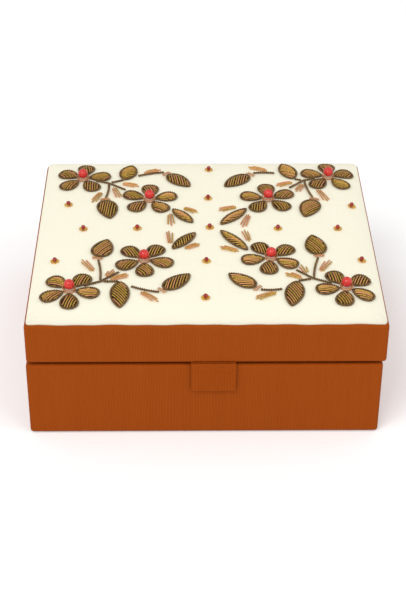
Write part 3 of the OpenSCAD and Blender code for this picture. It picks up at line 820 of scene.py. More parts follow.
@dataclass(frozen=True)
class SewnForm:
    """Outline of a petal, leaf or bud that lies on the panel."""

    foot: Point
    tip: Point
    width: float
    powers: Point

    def middle(self) -> Point:
        """The place between its widest points."""
        return between(self.foot, self.tip, self.powers[0] / (self.powers[0] + self.powers[1]))

    def half_width(self, t: float) -> float:
        """Share of its half width at a share of its length.

        Args:
            t: The share of its length, from its foot.

        Returns:
            The share of its half width.
        """
        a, b = self.powers
        peak = a / (a + b)
        return t ** a * (1 - t) ** b / (peak ** a * (1 - peak) ** b)

    def outline(self, inset: float, half_steps: int) -> list[Point]:
        """Its outline, anticlockwise.

        Args:
            inset: How far inside the edge the outline runs.
            half_steps: Steps along each half.

        Returns:
            The outline's points.
        """
        along = unit(self.foot, self.tip)
        aside = (-along[1], along[0])
        length = math.dist(self.foot, self.tip)
        reach = length - 2 * inset
        start = add(self.foot, along, inset)
        points: list[Point] = []
        for side, order in ((-1, range(half_steps)), (1, range(half_steps, 0, -1))):
            for i in order:
                t = (1 - math.cos(math.pi * i / half_steps)) / 2
                half = (self.width / 2 - inset) * self.half_width(t)
                points.append(add(add(start, along, reach * t), aside, side * half))
        return points

    def share(self, p: Point, outline: list[Point]) -> float:
        """How far out a place lies, from 0 in the middle to 1 on the outline.

        Args:
            p: The place.
            outline: The form's outline.

        Returns:
            The share, which is over 1 outside the outline.
        """
        m = self.middle()
        largest = 0.0
        for i, a in enumerate(outline):
            b = outline[(i + 1) % len(outline)]
            normal = (b[1] - a[1], a[0] - b[0])
            edge = normal[0] * (a[0] - m[0]) + normal[1] * (a[1] - m[1])
            if edge > NO_SIZE:
                largest = max(largest, (normal[0] * (p[0] - m[0]) + normal[1] * (p[1] - m[1])) / edge)
        return largest


@dataclass(frozen=True)
class Sprig:
    """One corner sprig, laid out from its corner of the panel.

    Each place is given in millimetres: in from the side, then in from the front or the back. A flower also
    has its turn, in degrees.
    """

    corner: Point
    flowers: tuple[Place, Place]
    bud: tuple[Point, Point]
    leaf: tuple[Point, Point]
    side_leaf: tuple[Point, Point]
    slim_leaf: tuple[Point, Point]
    fork: Point
    runner: Point
    sprays: tuple[tuple[Point, Point], ...]


SPRIGS = (
    Sprig(
        corner=(-1, -1), flowers=((22.5, 25.5, -1), (63.5, 56, -1)),
        bud=((37, 59), (42, 78)), leaf=((50.5, 33.5), (51, 8.5)),
        side_leaf=((75, 25.5), (90, 41)), slim_leaf=((79.5, 67.5), (93.5, 85.5)),
        fork=(39.5, 33.5), runner=(57, 28.5),
        sprays=(((35, 44.5), (28, 56)), ((42.7, 38.7), (46.1, 45.8)), ((45, 35.7), (55, 40.2)),
                ((62.5, 23), (72, 14)), ((78.5, 74), (77.5, 87)), ((87, 68), (95.5, 73)))),
    Sprig(
        corner=(1, -1), flowers=((20.4, 27.3, 5), (61, 58, 4)),
        bud=((33.3, 61), (35.8, 82.5)), leaf=((47.5, 33.5), (52, 9.5)),
        side_leaf=((71, 27.5), (86, 41.5)), slim_leaf=((74, 66), (89.5, 88)),
        fork=(38, 36), runner=(56.5, 25.5),
        sprays=(((33.5, 44), (27.5, 55)), ((41.8, 42), (44, 50)), ((44.5, 36.5), (53.5, 42)),
                ((60, 22.5), (71.5, 16.5)), ((73, 76), (75.5, 88)), ((79.5, 65), (90, 70)))),
    Sprig(
        corner=(-1, 1), flowers=((23.5, 27.5, 3), (65.5, 53.5, -3)),
        bud=((38.5, 54.5), (42.5, 76)), leaf=((49.5, 29.5), (54, 10)),
        side_leaf=((76.5, 22.5), (90.5, 38)), slim_leaf=((79.5, 64.8), (92, 81)),
        fork=(40, 33.5), runner=(58, 24.5),
        sprays=(((35.6, 45), (30.6, 56.5)), ((43, 39), (47, 50.5)), ((48.5, 34), (58.5, 37.5)),
                ((61.5, 20), (72, 16.5)), ((78, 70.5), (79, 84)), ((86.5, 64), (94.5, 69)))),
    Sprig(
        corner=(1, 1), flowers=((20.5, 25.5, -4), (59.5, 53, -1)),
        bud=((31.5, 54.5), (38.5, 74.5)), leaf=((42.5, 28.5), (48.5, 7.5)),
        side_leaf=((70, 23.5), (86, 38)), slim_leaf=((73, 64.5), (89.5, 83)),
        fork=(36, 30.5), runner=(54, 21),
        sprays=(((28, 42), (23.5, 55)), ((37, 35.5), (41.5, 44)), ((43.5, 32.5), (53.5, 37)),
                ((58.5, 17.5), (70, 12.5)), ((72, 72), (76.5, 85.5)), ((79.5, 62.5), (90, 66.5)))),
)


@dataclass
class Embroidery:
    """The four sprigs: corded and filled petals, leaves and buds, stems, sprays and collars."""

    form: PanelForm
    cord_d: float = 1.4
    stem_d: float = 1.55
    purl_d: float = 1.1
    purl_gap: float = 0.2
    bit_d: float = 0.92
    loop_d: float = 0.8
    petal_start: float = 3.4
    petal_l: float = 14.4
    petal_w: float = 11.2
    petal_turns: tuple[float, ...] = (134, 57, -14, -86, -152)
    petal_powers: Point = (0.8, 0.45)
    leaf_w: float = 11.6
    leaf_powers: Point = (0.7, 0.8)
    side_leaf_powers: Point = (0.55, 0.8)
    slim_w: float = 8.0
    slim_powers: Point = (0.8, 0.8)
    bud_w: float = 13.2
    bud_powers: Point = (0.5, 0.8)
    petal_slant: float = 24
    leaf_slant: float = 38
    bud_slant: float = 20
    slant_spread: float = 9
    fill_h: float = 1.9
    fill_pitch: float = 1.46
    fill_sink: float = 0.42
    fill_wobble: float = 0.12
    fill_ragged: float = 0.35
    fill_least: float = 1.6
    fill_inset: float = 1.05
    cord_hug: float = 0.8
    ground_inset: float = 0.6
    ground_sink: float = 0.95
    ground_rings: tuple[float, ...] = (1.0, 0.8, 0.55, 0.28)
    olive_tones: tuple[float, ...] = (0.0, 0.1, 0.3)
    mixed_tones: tuple[float, ...] = (0.2, 0.7, 1.0)
    spray_tones: tuple[float, ...] = (0.2, 0.6, 1.0)
    loop_tone: float = 0.9
    cup_tone: float = 0.95
    fan: float = 0.55
    spray_wobble: float = 0.3
    spray_foot: Point = (0.2, 1.6)
    spray_tip: Point = (0.6, 3.0)
    arch: float = 0.3
    collar_l: float = 6.5
    collar_taper: float = 0.15
    cup_turns: tuple[Point, ...] = ((3.2, 0.7), (3.6, 2.2))
    cup_steps: int = 24
    cord_half_steps: int = 16
    fill_half_steps: int = 12
    bit_steps: int = 4
    main_steps: int = 6
    branch_steps: int = 8
    leaf_steps: int = 4
    stem_start: float = 9
    stem_end: float = 4
    fork_bend: float = 6
    bud_bow: float = 1.2
    runner_bow: float = 1.5
    leaf_gap: float = 0.9
    fork_gap: float = 0.3
    seed: int = 11

    def place(self, sprig: Sprig, p: Point) -> Point:
        """A place given from a sprig's corner, as a place from the panel's middle."""
        side, end = sprig.corner
        return (side * (self.form.width / 2 - p[0]), end * (self.form.depth / 2 - p[1]))

    def turned(self, sprig: Sprig, degrees: float) -> Point:
        """A direction in a sprig's own frame, as a direction on the panel."""
        turn = math.radians(degrees)
        return (-sprig.corner[0] * math.cos(turn), -sprig.corner[1] * math.sin(turn))

    def sewn(self, sprig: Sprig, ends: tuple[Point, Point], width: float, powers: Point) -> SewnForm:
        """A sewn form between two places given from a sprig's corner."""
        return SewnForm(self.place(sprig, ends[0]), self.place(sprig, ends[1]), width, powers)

    def petals(self) -> list[SewnForm]:
        """The forms of all petals.

        Returns:
            The forms, five to a flower.
        """
        forms = []
        for sprig in SPRIGS:
            for u, v, spin in sprig.flowers:
                centre = self.place(sprig, (u, v))
                for turn in self.petal_turns:
                    way = self.turned(sprig, turn + spin)
                    foot, tip = (add(centre, way, self.petal_start + run) for run in (0, self.petal_l))
                    forms.append(SewnForm(foot, tip, self.petal_w, self.petal_powers))
        return forms

    def leaves(self) -> list[SewnForm]:
        """The forms of all leaves.

        Returns:
            The forms, three to a sprig.
        """
        forms = []
        for sprig in SPRIGS:
            forms.append(self.sewn(sprig, sprig.leaf, self.leaf_w, self.leaf_powers))
            forms.append(self.sewn(sprig, sprig.side_leaf, self.leaf_w, self.side_leaf_powers))
            forms.append(self.sewn(sprig, sprig.slim_leaf, self.slim_w, self.slim_powers))
        return forms

    def buds(self) -> list[SewnForm]:
        """The forms of all buds."""
        return [self.sewn(sprig, sprig.bud, self.bud_w, self.bud_powers) for sprig in SPRIGS]

    def fill_top(self, form: SewnForm, p: Point, outline: list[Point]) -> float:
        """Height of the filling over the silk at a place in a sewn form.

        Args:
            form: The sewn form.
            p: The place.
            outline: The form's outline.

        Returns:
            The height, in millimetres.
        """
        out = min(form.share(p, outline), 1.0)
        edge = self.cord_d * self.cord_hug
        return edge + (self.fill_h - edge) * (1 - out * out) + self.form.seat / 2

    def cords(self, forms: list[SewnForm]) -> Sculpt:
        """Centre lines of the cords round sewn forms.

        Args:
            forms: The forms to edge.

        Returns:
            The routes.
        """
        sculpt = Sculpt()
        for form in forms:
            outline = form.outline(self.cord_d / 2, self.cord_half_steps)
            sculpt.line([self.form.at(p, self.form.seat + self.cord_d / 2) for p in outline], closed=True)
        return sculpt

    def grounds(self, forms: list[SewnForm]) -> Sculpt:
        """Padding under the purl of sewn forms, whose dark colour is painted shade for the gaps between the
        bits.

        Args:
            forms: The forms to pad.

        Returns:
            The padding of all of them.
        """
        sculpt = Sculpt()
        sink = self.purl_d * self.ground_sink
        for form in forms:
            outline = form.outline(self.cord_d * self.ground_inset, self.fill_half_steps)
            middle = form.middle()
            rings = [[self.form.at(p, self.form.seat) for p in outline]]
            for share in self.ground_rings:
                ring = [between(middle, p, share) for p in outline]
                rings.append([self.form.at(p, self.fill_top(form, p, outline) - sink) for p in ring])
            count = len(outline)
            first = sculpt.ring_stack(rings)
            top = self.form.at(middle, self.fill_top(form, middle, outline) - sink)
            sculpt.cap(first + (len(rings) - 1) * count, count, top, True)
            sculpt.cap(first, count, self.form.at(middle, self.form.seat), False)
        return sculpt

    def filling(self, forms: list[SewnForm], slant: float, draw: random.Random) -> Sculpt:
        """Routes of the short bits of purl that fill sewn forms.

        Args:
            forms: The forms to fill.
            slant: Degrees between the bits and the form's length.
            draw: Source of the small differences between bits.

        Returns:
            The routes, with a tone for each bit.
        """
        sculpt = Sculpt()
        for form in forms:
            outline = form.outline(self.cord_d * self.fill_inset, self.fill_half_steps)
            middle = form.middle()
            along = unit(form.foot, form.tip)
            spread = draw.uniform(-self.slant_spread, self.slant_spread)
            lean = math.radians(slant + spread) * draw.choice((-1, 1))
            way = (along[0] * math.cos(lean) - along[1] * math.sin(lean),
                   along[0] * math.sin(lean) + along[1] * math.cos(lean))
            aside = (-way[1], way[0])
            count = int(max(form.width, math.dist(form.foot, form.tip)) / self.fill_pitch)
            for k in range(-count, count + 1):
                wobble = draw.uniform(-self.fill_wobble, self.fill_wobble)
                origin = add(middle, aside, k * self.fill_pitch + wobble)
                ends = self.crossings(origin, way, outline)
                if len(ends) < 2 or ends[-1] - ends[0] < self.fill_least:
                    continue
                low = ends[0] + draw.uniform(0, self.fill_ragged)
                high = ends[-1] - draw.uniform(0, self.fill_ragged)
                route = []
                for i in range(self.bit_steps + 1):
                    p = add(origin, way, low + (high - low) * i / self.bit_steps)
                    top = self.fill_top(form, p, outline)
                    route.append(self.form.at(p, top - self.purl_d * self.fill_sink))
                sculpt.line(route, tone=draw.choice(self.olive_tones if k % 2 else self.mixed_tones))
        return sculpt

    @staticmethod
    def crossings(origin: Point, way: Point, outline: list[Point]) -> list[float]:
        """Where a line crosses an outline, as distances along the line, in order.

        Args:
            origin: A place on the line.
            way: The line's direction.
            outline: The outline.

        Returns:
            The distances from the origin.
        """
        found = []
        for i, a in enumerate(outline):
            b = outline[(i + 1) % len(outline)]
            edge = (b[0] - a[0], b[1] - a[1])
            cross = way[0] * edge[1] - way[1] * edge[0]
            if abs(cross) < NO_SIZE:
                continue
            rel = (a[0] - origin[0], a[1] - origin[1])
            on_edge = (rel[0] * way[1] - rel[1] * way[0]) / cross
            if 0 <= on_edge < 1:
                found.append((rel[0] * edge[1] - rel[1] * edge[0]) / cross)
        return sorted(found)

    def stem_routes(self, sprig: Sprig) -> list[list[Point]]:
        """The four stems of a sprig: flower to flower, to the bud, to the leaf and to the side leaf.

        Args:
            sprig: The sprig.

        Returns:
            The routes.
        """
        reach = 1 + 2 * (self.purl_d + self.purl_gap)
        flower = self.petal_start + self.petal_l + self.cord_d
        fork = self.place(sprig, sprig.fork)
        near, far = (self.place(sprig, f[:2]) for f in sprig.flowers)
        start, end = toward(near, fork, self.stem_start), toward(far, fork, flower)
        main = bow(start, toward(fork, near, self.stem_end), fork, self.main_steps)
        main += bow(fork, toward(fork, far, self.fork_bend), end, self.main_steps)[1:]
        bud = toward(self.place(sprig, sprig.bud[0]), fork, reach)
        leaf = toward(self.place(sprig, sprig.leaf[0]), fork, self.leaf_gap)
        side_foot, side_tip = (self.place(sprig, p) for p in sprig.side_leaf)
        side = add(side_foot, unit(side_foot, side_tip), -reach)
        runner = self.place(sprig, sprig.runner)
        bud_bend = add(between(bud, fork, 0.5), self.turned(sprig, 0), self.bud_bow)
        runner_bend = add(between(runner, side, 0.5), self.turned(sprig, 90), -self.runner_bow)
        gap = self.cord_d + self.fork_gap
        return [main,
                bow(bud, bud_bend, toward(fork, bud, gap), self.branch_steps),
                bow(leaf, between(leaf, fork, 0.5), toward(fork, leaf, gap), self.leaf_steps),
                bow(runner, runner_bend, side, self.branch_steps)]

    def stems(self) -> Sculpt:
        """Centre lines of the stems.

        Returns:
            The routes.
        """
        sculpt = Sculpt()
        for sprig in SPRIGS:
            for route in self.stem_routes(sprig):
                sculpt.line([self.form.at(p, self.form.seat + self.cord_d / 2) for p in route])
        return sculpt

    def bit(self, sculpt: Sculpt, a: Point, b: Point, tone: float) -> None:
        """Adds one bit of purl or cord that lies on the silk from a to b with a low arch.

        Args:
            sculpt: Where the bit is gathered.
            a: Its start.
            b: Its end.
            tone: Its tone.
        """
        route = []
        for i in range(self.bit_steps + 1):
            share = i / self.bit_steps
            rise = self.arch * math.sin(math.pi * share)
            route.append(self.form.at(between(a, b, share), self.form.seat + self.purl_d / 2 + rise))
        sculpt.line(route, tone=tone)

    def sprays(self, draw: random.Random) -> Sculpt:
        """Routes of the loose bits of purl beside the stems, three to a spray, fanned and ragged.

        Args:
            draw: Source of the small differences between bits.

        Returns:
            The routes.
        """
        sculpt = Sculpt()
        for sprig in SPRIGS:
            for start, end in sprig.sprays:
                a, b = self.place(sprig, start), self.place(sprig, end)
                way = unit(a, b)
                aside = (-way[1], way[0])
                for k in (-1, 0, 1):
                    near = (self.bit_d + self.purl_gap) * k
                    far = near + self.fan * k + draw.uniform(-self.spray_wobble, self.spray_wobble)
                    p = add(add(a, aside, near), way, abs(k) * draw.uniform(*self.spray_foot))
                    q = add(add(b, aside, far), way, -abs(k) * draw.uniform(*self.spray_tip))
                    self.bit(sculpt, p, q, draw.choice(self.spray_tones))
        return sculpt

    def calyx_collars(self) -> Sculpt:
        """Routes of the loops laid across the stems at buds and side leaves.

        Returns:
            The routes, two to a collar.
        """
        sculpt = Sculpt()
        for sprig in SPRIGS:
            for foot, tip in (sprig.bud, sprig.side_leaf):
                a = self.place(sprig, foot)
                way = unit(a, self.place(sprig, tip))
                aside = (-way[1], way[0])
                for k in (0, 1):
                    back = self.purl_d / 2 + self.purl_gap + k * (self.purl_d + self.purl_gap)
                    half = self.collar_l / 2 * (1 - self.collar_taper * k)
                    centre = add(a, way, -back)
                    self.bit(sculpt, add(centre, aside, -half), add(centre, aside, half), self.loop_tone)
        return sculpt

    def bead_cups(self) -> Sculpt:
        """Routes of the loops that hold the coral beads.

        Returns:
            The routes, one for each radius and height of cup_turns.
        """
        sculpt = Sculpt()
        for centre in self.bead_places():
            x, y, z = self.form.at(centre, 0)
            for radius, above in self.cup_turns:
                turns = [2 * math.pi * i / self.cup_steps for i in range(self.cup_steps)]
                ring = [(x + radius * math.cos(t), y + radius * math.sin(t), z + above) for t in turns]
                sculpt.line(ring, closed=True, tone=self.cup_tone)
        return sculpt

    def bead_places(self) -> list[Point]:
        """Middles of the flowers."""
        return [self.place(sprig, flower[:2]) for sprig in SPRIGS for flower in sprig.flowers]

    def build(self, wardrobe: Wardrobe) -> None:
        """Makes every sewn piece and puts it on the lid.

        Args:
            wardrobe: The finishes.
        """
        cord, purl = cord_tree(), purl_tree()
        draw = random.Random(self.seed)

        def run(name: str, sculpt: Sculpt, tree: Tree, diameter: float, finish: Material) -> Piece:
            """Runs a cord or a purl along routes."""
            source = sculpt.build(name, smooth=False)
            return grow(source, tree, {"Diameter": diameter * MM, "Finish": finish})

        for node, forms, slant in (("petals", self.petals(), self.petal_slant),
                                   ("leaves", self.leaves(), self.leaf_slant),
                                   ("buds", self.buds(), self.bud_slant)):
            # the dark ground stands for the shade in the gaps between purl bits: painted shade
            ground = self.grounds(forms).build(f"{node}_ground", wardrobe.ground)
            edging = run(f"{node}_edging", self.cords(forms), cord, self.cord_d, wardrobe.cord)
            fill = run(f"{node}_purl", self.filling(forms, slant, draw), purl, self.bit_d, wardrobe.purl)
            for piece, slot in ((ground, "olive_purl"), (edging, "couched_cord"), (fill, "olive_purl")):
                settle(piece, "lid", slot, node)
        stems = run("stem_cords", self.stems(), cord, self.stem_d, wardrobe.cord)
        settle(stems, "lid", "couched_cord", "stems")
        for name, node, tree, diameter, sculpt in (
                ("spray_purl", "sprays", purl, self.bit_d, self.sprays(draw)),
                ("calyx_loops", "calyx_collars", cord, self.loop_d, self.calyx_collars()),
                ("bead_cup_loops", "bead_collars", cord, self.loop_d, self.bead_cups())):
            settle(run(name, sculpt, tree, diameter, wardrobe.purl), "lid", "copper_purl", node)


@dataclass
class Beadwork:
    """Coral beads in the flowers, and sequins held by seed beads between the sprigs.

    A sequin's place is a side or an end (-1 or 1), how far in from it, and how far along from the middle.
    """

    form: PanelForm
    embroidery: Embroidery
    bead_d: float = 6.0
    bead_z: float = 4.39
    bead_lean: float = 0.12
    sequin_d: float = 5.0
    sequin_t: float = 0.3
    sequin_lean: float = 0.04
    seed_d: float = 2.6
    seed_lean: float = 0.5
    hole_d: float = 1.1
    seed_hole_d: float = 0.7
    bead_steps: int = 12
    bead_sides: int = 24
    cup_sides: int = 20
    cup_foot: float = 0.12
    foil_t: float = 0.1
    foil_slant: float = 0.02
    cup_rise: tuple[Point, ...] = ((0.5, 0.14), (0.8, 0.42), (1.0, 0.55))
    by_side: tuple[Place, ...] = ((-1, 26.8, 1.5), (-1, 58.8, 2), (1, 55.3, 1.5), (1, 19.8, 1.5),
                                  (-1, 12.3, -33), (-1, 16.3, 30), (1, 8.8, -32), (1, 8.8, 29))
    by_end: tuple[Place, ...] = ((-1, 17.8, -0.5), (-1, 54.8, 0.5), (1, 51.8, 2.5), (1, 15.8, 3.5))
    middle: Point = (3, 3)

    def places(self) -> list[Point]:
        """Where the sequins lie, from the panel's middle.

        Returns:
            The places.
        """
        half_w, half_d = self.form.width / 2, self.form.depth / 2
        return ([self.middle] + [(side * (half_w - inward), y) for side, inward, y in self.by_side]
                + [(x, side * (half_d - inward)) for side, inward, x in self.by_end])

    def bead(self, name: str, diameter: float, hole: float) -> Piece:
        """A bored bead round the origin.

        Args:
            name: The new object's name.
            diameter: The bead's diameter.
            hole: Its hole's diameter.

        Returns:
            The bead.
        """
        radius = diameter / 2
        start = math.asin(hole / diameter)
        shares = [i / self.bead_steps for i in range(self.bead_steps + 1)]
        turns = [start + (math.pi - 2 * start) * share for share in shares]
        profile = [(radius * math.sin(turn), -radius * math.cos(turn)) for turn in turns]
        return lathe(name, profile, self.bead_sides)

    def cup(self, name: str) -> Piece:
        """A cupped sequin with its foot at the origin.

        Args:
            name: The new object's name.

        Returns:
            The sequin.
        """
        radius = self.sequin_d / 2
        top = [(self.hole_d / 2, self.cup_foot)] + [(radius * share, z) for share, z in self.cup_rise]
        bottom = [(r - self.foil_slant, z - self.foil_t) for r, z in reversed(top)]
        return lathe(name, list(reversed(top + bottom)), self.cup_sides)

    def points(self, name: str, flat: list[Point], above: float) -> Piece:
        """A piece with only points over the silk, each with the silk's slope there.

        Args:
            name: The new object's name.
            flat: Places, counted from the panel's middle.
            above: How far over the silk the points lie.

        Returns:
            The object.
        """
        piece = Sculpt(points=[self.form.at(p, above) for p in flat]).build(name, smooth=False)
        slopes = piece.data.attributes.new("slope", "FLOAT_VECTOR", "POINT")
        leans = [self.form.lean(p, self.sequin_d / 2) for p in flat]
        slopes.data.foreach_set("vector", [turn for lean in leans for turn in lean])
        return piece

    def build(self, wardrobe: Wardrobe) -> None:
        """Makes the beads and sequins and puts them on the lid.

        Args:
            wardrobe: The finishes.
        """
        tree = scatter_tree()
        seat = self.form.seat
        flowers = self.embroidery.bead_places()
        seed_z = seat + self.sequin_t + self.seed_d / 2
        for name, node, slot, flat, above, part, finish, lean in (
                ("coral_bead_set", "coral_beads", "coral_bead", flowers, self.bead_z,
                 self.bead("bead_form", self.bead_d, self.hole_d), wardrobe.coral, self.bead_lean),
                ("sequin_set", "sequins", "sequin", self.places(), seat,
                 self.cup("sequin_form"), wardrobe.sequin, self.sequin_lean),
                ("seed_bead_set", "seed_beads", "seed_bead", self.places(), seed_z,
                 self.bead("seed_form", self.seed_d, self.seed_hole_d), wardrobe.seed, self.seed_lean)):
            source = self.points(name, flat, above)
            piece = grow(source, tree, {"Piece": part, "Lean": lean, "Finish": finish})
            bpy.data.objects.remove(part)
            settle(piece, "lid", slot, node)


@dataclass
class SilkPanel:
    """The silk skin, its wadding and its card."""

    form: PanelForm
    silk_t: float = 0.3
    turn: float = 10.0
    step: float = 2.2
    wall_levels: tuple[float, ...] = (0.0, 0.4, 0.9)
    underside_gap: float = 0.02
    wadding_inset: float = 1.0
    wadding_gap: float = 0.2
    wander: float = 0.35
    wander_waves: Point = (11, 4.3)
    wander_strip: float = 0.6
    # darkening along the front edge: partly dirt, partly painted shade of the rolled edge
    front_dirt_and_shade: float = 0.55
    front_dirt_and_shade_reach: float = 5.0
    rings: int = 26
    ring_crowding: float = 1.7
    pucker: float = 0.12
    pucker_reach: float = 7.0
    ripple: Place = (1.9, 1.3, 0.37)
    fill: float = 0.6

    def outline(self, width: float, depth: float, radii: Point) -> list[Point]:
        """The panel's outline, whose front edge wanders a little as a hand-turned edge does.

        Args:
            width: Its size along X.
            depth: Its size along Y.
            radii: Its corner radius at the back and at the front.

        Returns:
            The outline's points.
        """
        front = self.wander_strip - self.form.depth / 2
        long, short = self.wander_waves
        outline = []
        for x, y in rounded_outline(width, depth, radii, self.step):
            shift = self.wander * math.sin(x / long) * math.sin(x / short + 1) if y < front else 0.0
            outline.append((x, y + shift))
        return outline

    def dirt_and_shade_at(self, p: Place) -> float:
        """How much the silk darkens at a place along the front: partly dirt, partly painted shade where its
        rolled edge turns away from the light.
        """
        inward = p[1] + self.form.depth / 2
        return self.front_dirt_and_shade * math.exp(-max(inward, 0.0) / self.front_dirt_and_shade_reach)

    def pull(self, index: int, inward: float) -> float:
        """Height of a small pull that runs in from the edge, at a point of an outline.

        Args:
            index: Which point of the outline.
            inward: How far in from the edge.

        Returns:
            The height, from -1 to 1.
        """
        pitch, sway, sway_pitch = self.ripple
        wave = math.sin(index * pitch + sway * math.sin(index * sway_pitch))
        return math.exp(-inward / self.pucker_reach) * wave * min(inward, 1)

    def crown(self, width: float, depth: float, drop: float, pucker: float) -> list[list[Place]]:
        """Rings from the panel's edge to near its middle.

        Args:
            width: The outline's size along X.
            depth: The outline's size along Y.
            drop: How far the surface lies under the silk's face.
            pucker: Depth of the small pulls that run in from the edge.

        Returns:
            The rings.
        """
        outline = self.outline(width, depth, self.form.corners)
        rings = []
        for i in range(self.rings):
            share = 1 - (i / self.rings) ** self.ring_crowding
            inward = (1 - share) * width / 2
            ring = []
            for k, (x, y) in enumerate(outline):
                q = (x * share, y * share)
                ring.append(self.form.at(q, pucker * self.pull(k, inward) - drop))
            rings.append(ring)
        return rings

    def skin(self, wardrobe: Wardrobe) -> None:
        """Makes the silk, drawn over the panel and turned in beneath it.

        Args:
            wardrobe: The finishes.
        """
        form = self.form
        foot = form.foot_z + self.underside_gap
        outer = self.outline(form.width, form.depth, form.corners)
        inner = (form.width - 2 * self.turn, form.depth - 2 * self.turn)
        folded = rounded_outline(*inner, form.corners, self.step)
        rings = [[(x + form.centre_x, y, foot) for x, y in self.match(folded, len(outer))]]
        rings += [[(x + form.centre_x, y, foot + lift) for x, y in outer] for lift in self.wall_levels]
        rings += self.crown(form.width, form.depth, 0, self.pucker)
        sculpt = Sculpt()
        count = len(outer)
        first = sculpt.ring_stack(rings)
        sculpt.cap(first + (len(rings) - 1) * count, count, form.at((0, 0), 0), True)
        # tones darken the silk along the front: partly dirt, partly painted shade
        sculpt.tones = [self.dirt_and_shade_at(p) for p in sculpt.points]
        skin = sculpt.build("silk_skin", wardrobe.silk)
        settle(skin, "lid", "silk", "panel_silk")

    def wadding(self, wardrobe: Wardrobe) -> None:
        """Makes the wadding under the silk.

        Args:
            wardrobe: The finishes.
        """
        form = self.form
        inset = 2 * (self.silk_t + self.wadding_inset)
        drop = self.silk_t + self.wadding_gap
        base = form.edge_z - self.silk_t
        rings = self.crown(form.width - inset, form.depth - inset, drop, 0)
        rings = [[(x, y, base) for x, y, _ in rings[0]]] + rings
        sculpt = Sculpt()
        count = len(rings[0])
        first = sculpt.ring_stack(rings)
        sculpt.cap(first + (len(rings) - 1) * count, count, form.at((0, 0), -drop), True)
        sculpt.cap(first, count, (form.centre_x, 0, base), False)
        pad = sculpt.build("wadding_pad", wardrobe.wadding)
        settle(pad, "lid", "wadding", "panel_wadding")

    def build(self, frame: dict, wardrobe: Wardrobe) -> None:
        """Makes the silk and the wadding and dresses the card.

        Args:
            wardrobe: The finishes.
        """
        self.skin(wardrobe)
        self.wadding(wardrobe)
        dress(frame, "panel_card", wardrobe.card)

    @staticmethod
    def match(ring: list[Point], count: int) -> list[Point]:
        """Gives a ring another number of points by walking it evenly."""
        return [ring[int(i * len(ring) / count)] for i in range(count)]


@dataclass
class Carcass:
    """Boards, covers, linings and felt of the base and the lid."""

    trays: tuple[str, str] = ("base", "lid")
    walls: tuple[str, ...] = ("front", "back", "left", "right")

    def build(self, frame: dict, wardrobe: Wardrobe) -> None:
        """Dresses the boards and the cloths glued to them.

        Args:
            wardrobe: The finishes.
        """
        for tray in self.trays:
            for wall in self.walls:
                dress(frame, f"{tray}_{wall}_board", wardrobe.board)
            dress(frame, f"{tray}_cover", wardrobe.ribbed)
            dress(frame, f"{tray}_lining", wardrobe.lining)
        dress(frame, "base_bottom_board", wardrobe.board)
        dress(frame, "lid_top_board", wardrobe.board)
        dress(frame, "underside_felt", wardrobe.felt)
        dress(frame, "tab_root", wardrobe.ribbed)


@dataclass
class InnerPad:
    """A crowned pad with pulled-in sides, on the floor or under the ceiling."""

    name: str
    node: str
    body: str
    edge_h: float
    rise: float
    upward: bool
    rings: int = 18
    corner: float = 2.5
    step: float = 3.0
    side_shape: tuple[Point, ...] = ((0.988, 0.0), (0.997, 0.25), (1.0, 0.5), (0.994, 0.8), (0.98, 1.0))
    tautness: float = 6.0
    ring_crowding: float = 1.5
    fill: float = 0.5

    def build(self, wardrobe: Wardrobe) -> None:
        """Makes the pad in the space of its node.

        Args:
            wardrobe: The finishes.
        """
        low, high = (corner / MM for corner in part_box(self.node))
        width, depth = high[0] - low[0], high[1] - low[1]
        cx, cy = (high[0] + low[0]) / 2, (high[1] + low[1]) / 2
        base, sign = (low[2], 1) if self.upward else (high[2], -1)
        outline = rounded_outline(width, depth, (self.corner, self.corner), self.step, corner_steps=5)

        def ring(share: float, lift: float, rise: float) -> list[Place]:
            """One ring, shrunk to a share, whose middle swells by rise over its lift.

            Args:
                share: How large the ring is beside the outline.
                lift: How far it lies from the base.
                rise: How far its middle swells past that.

            Returns:
                The places.
            """
            places = []
            for x, y in outline:
                u, v = min(abs(2 * x * share / width), 1), min(abs(2 * y * share / depth), 1)
                swell = (1 - u ** self.tautness) * (1 - v ** self.tautness)
                places.append((cx + x * share, cy + y * share, base + sign * (lift + rise * swell)))
            return places if self.upward else list(reversed(places))

        rings = [ring(share, self.edge_h * height, 0) for share, height in self.side_shape]
        widest = self.side_shape[-1][0]
        for i in range(1, self.rings):
            rings.append(ring(widest * (1 - (i / self.rings) ** self.ring_crowding), self.edge_h, self.rise))
        sculpt = Sculpt()
        count = len(outline)
        first = sculpt.ring_stack(rings)
        top = (cx, cy, base + sign * (self.edge_h + self.rise))
        sculpt.cap(first + (len(rings) - 1) * count, count, top, True)
        sculpt.cap(first, count, (cx, cy, base), False)
        pad = sculpt.build(self.name, wardrobe.lining)
        settle(pad, self.body, "lining_cloth", self.node)


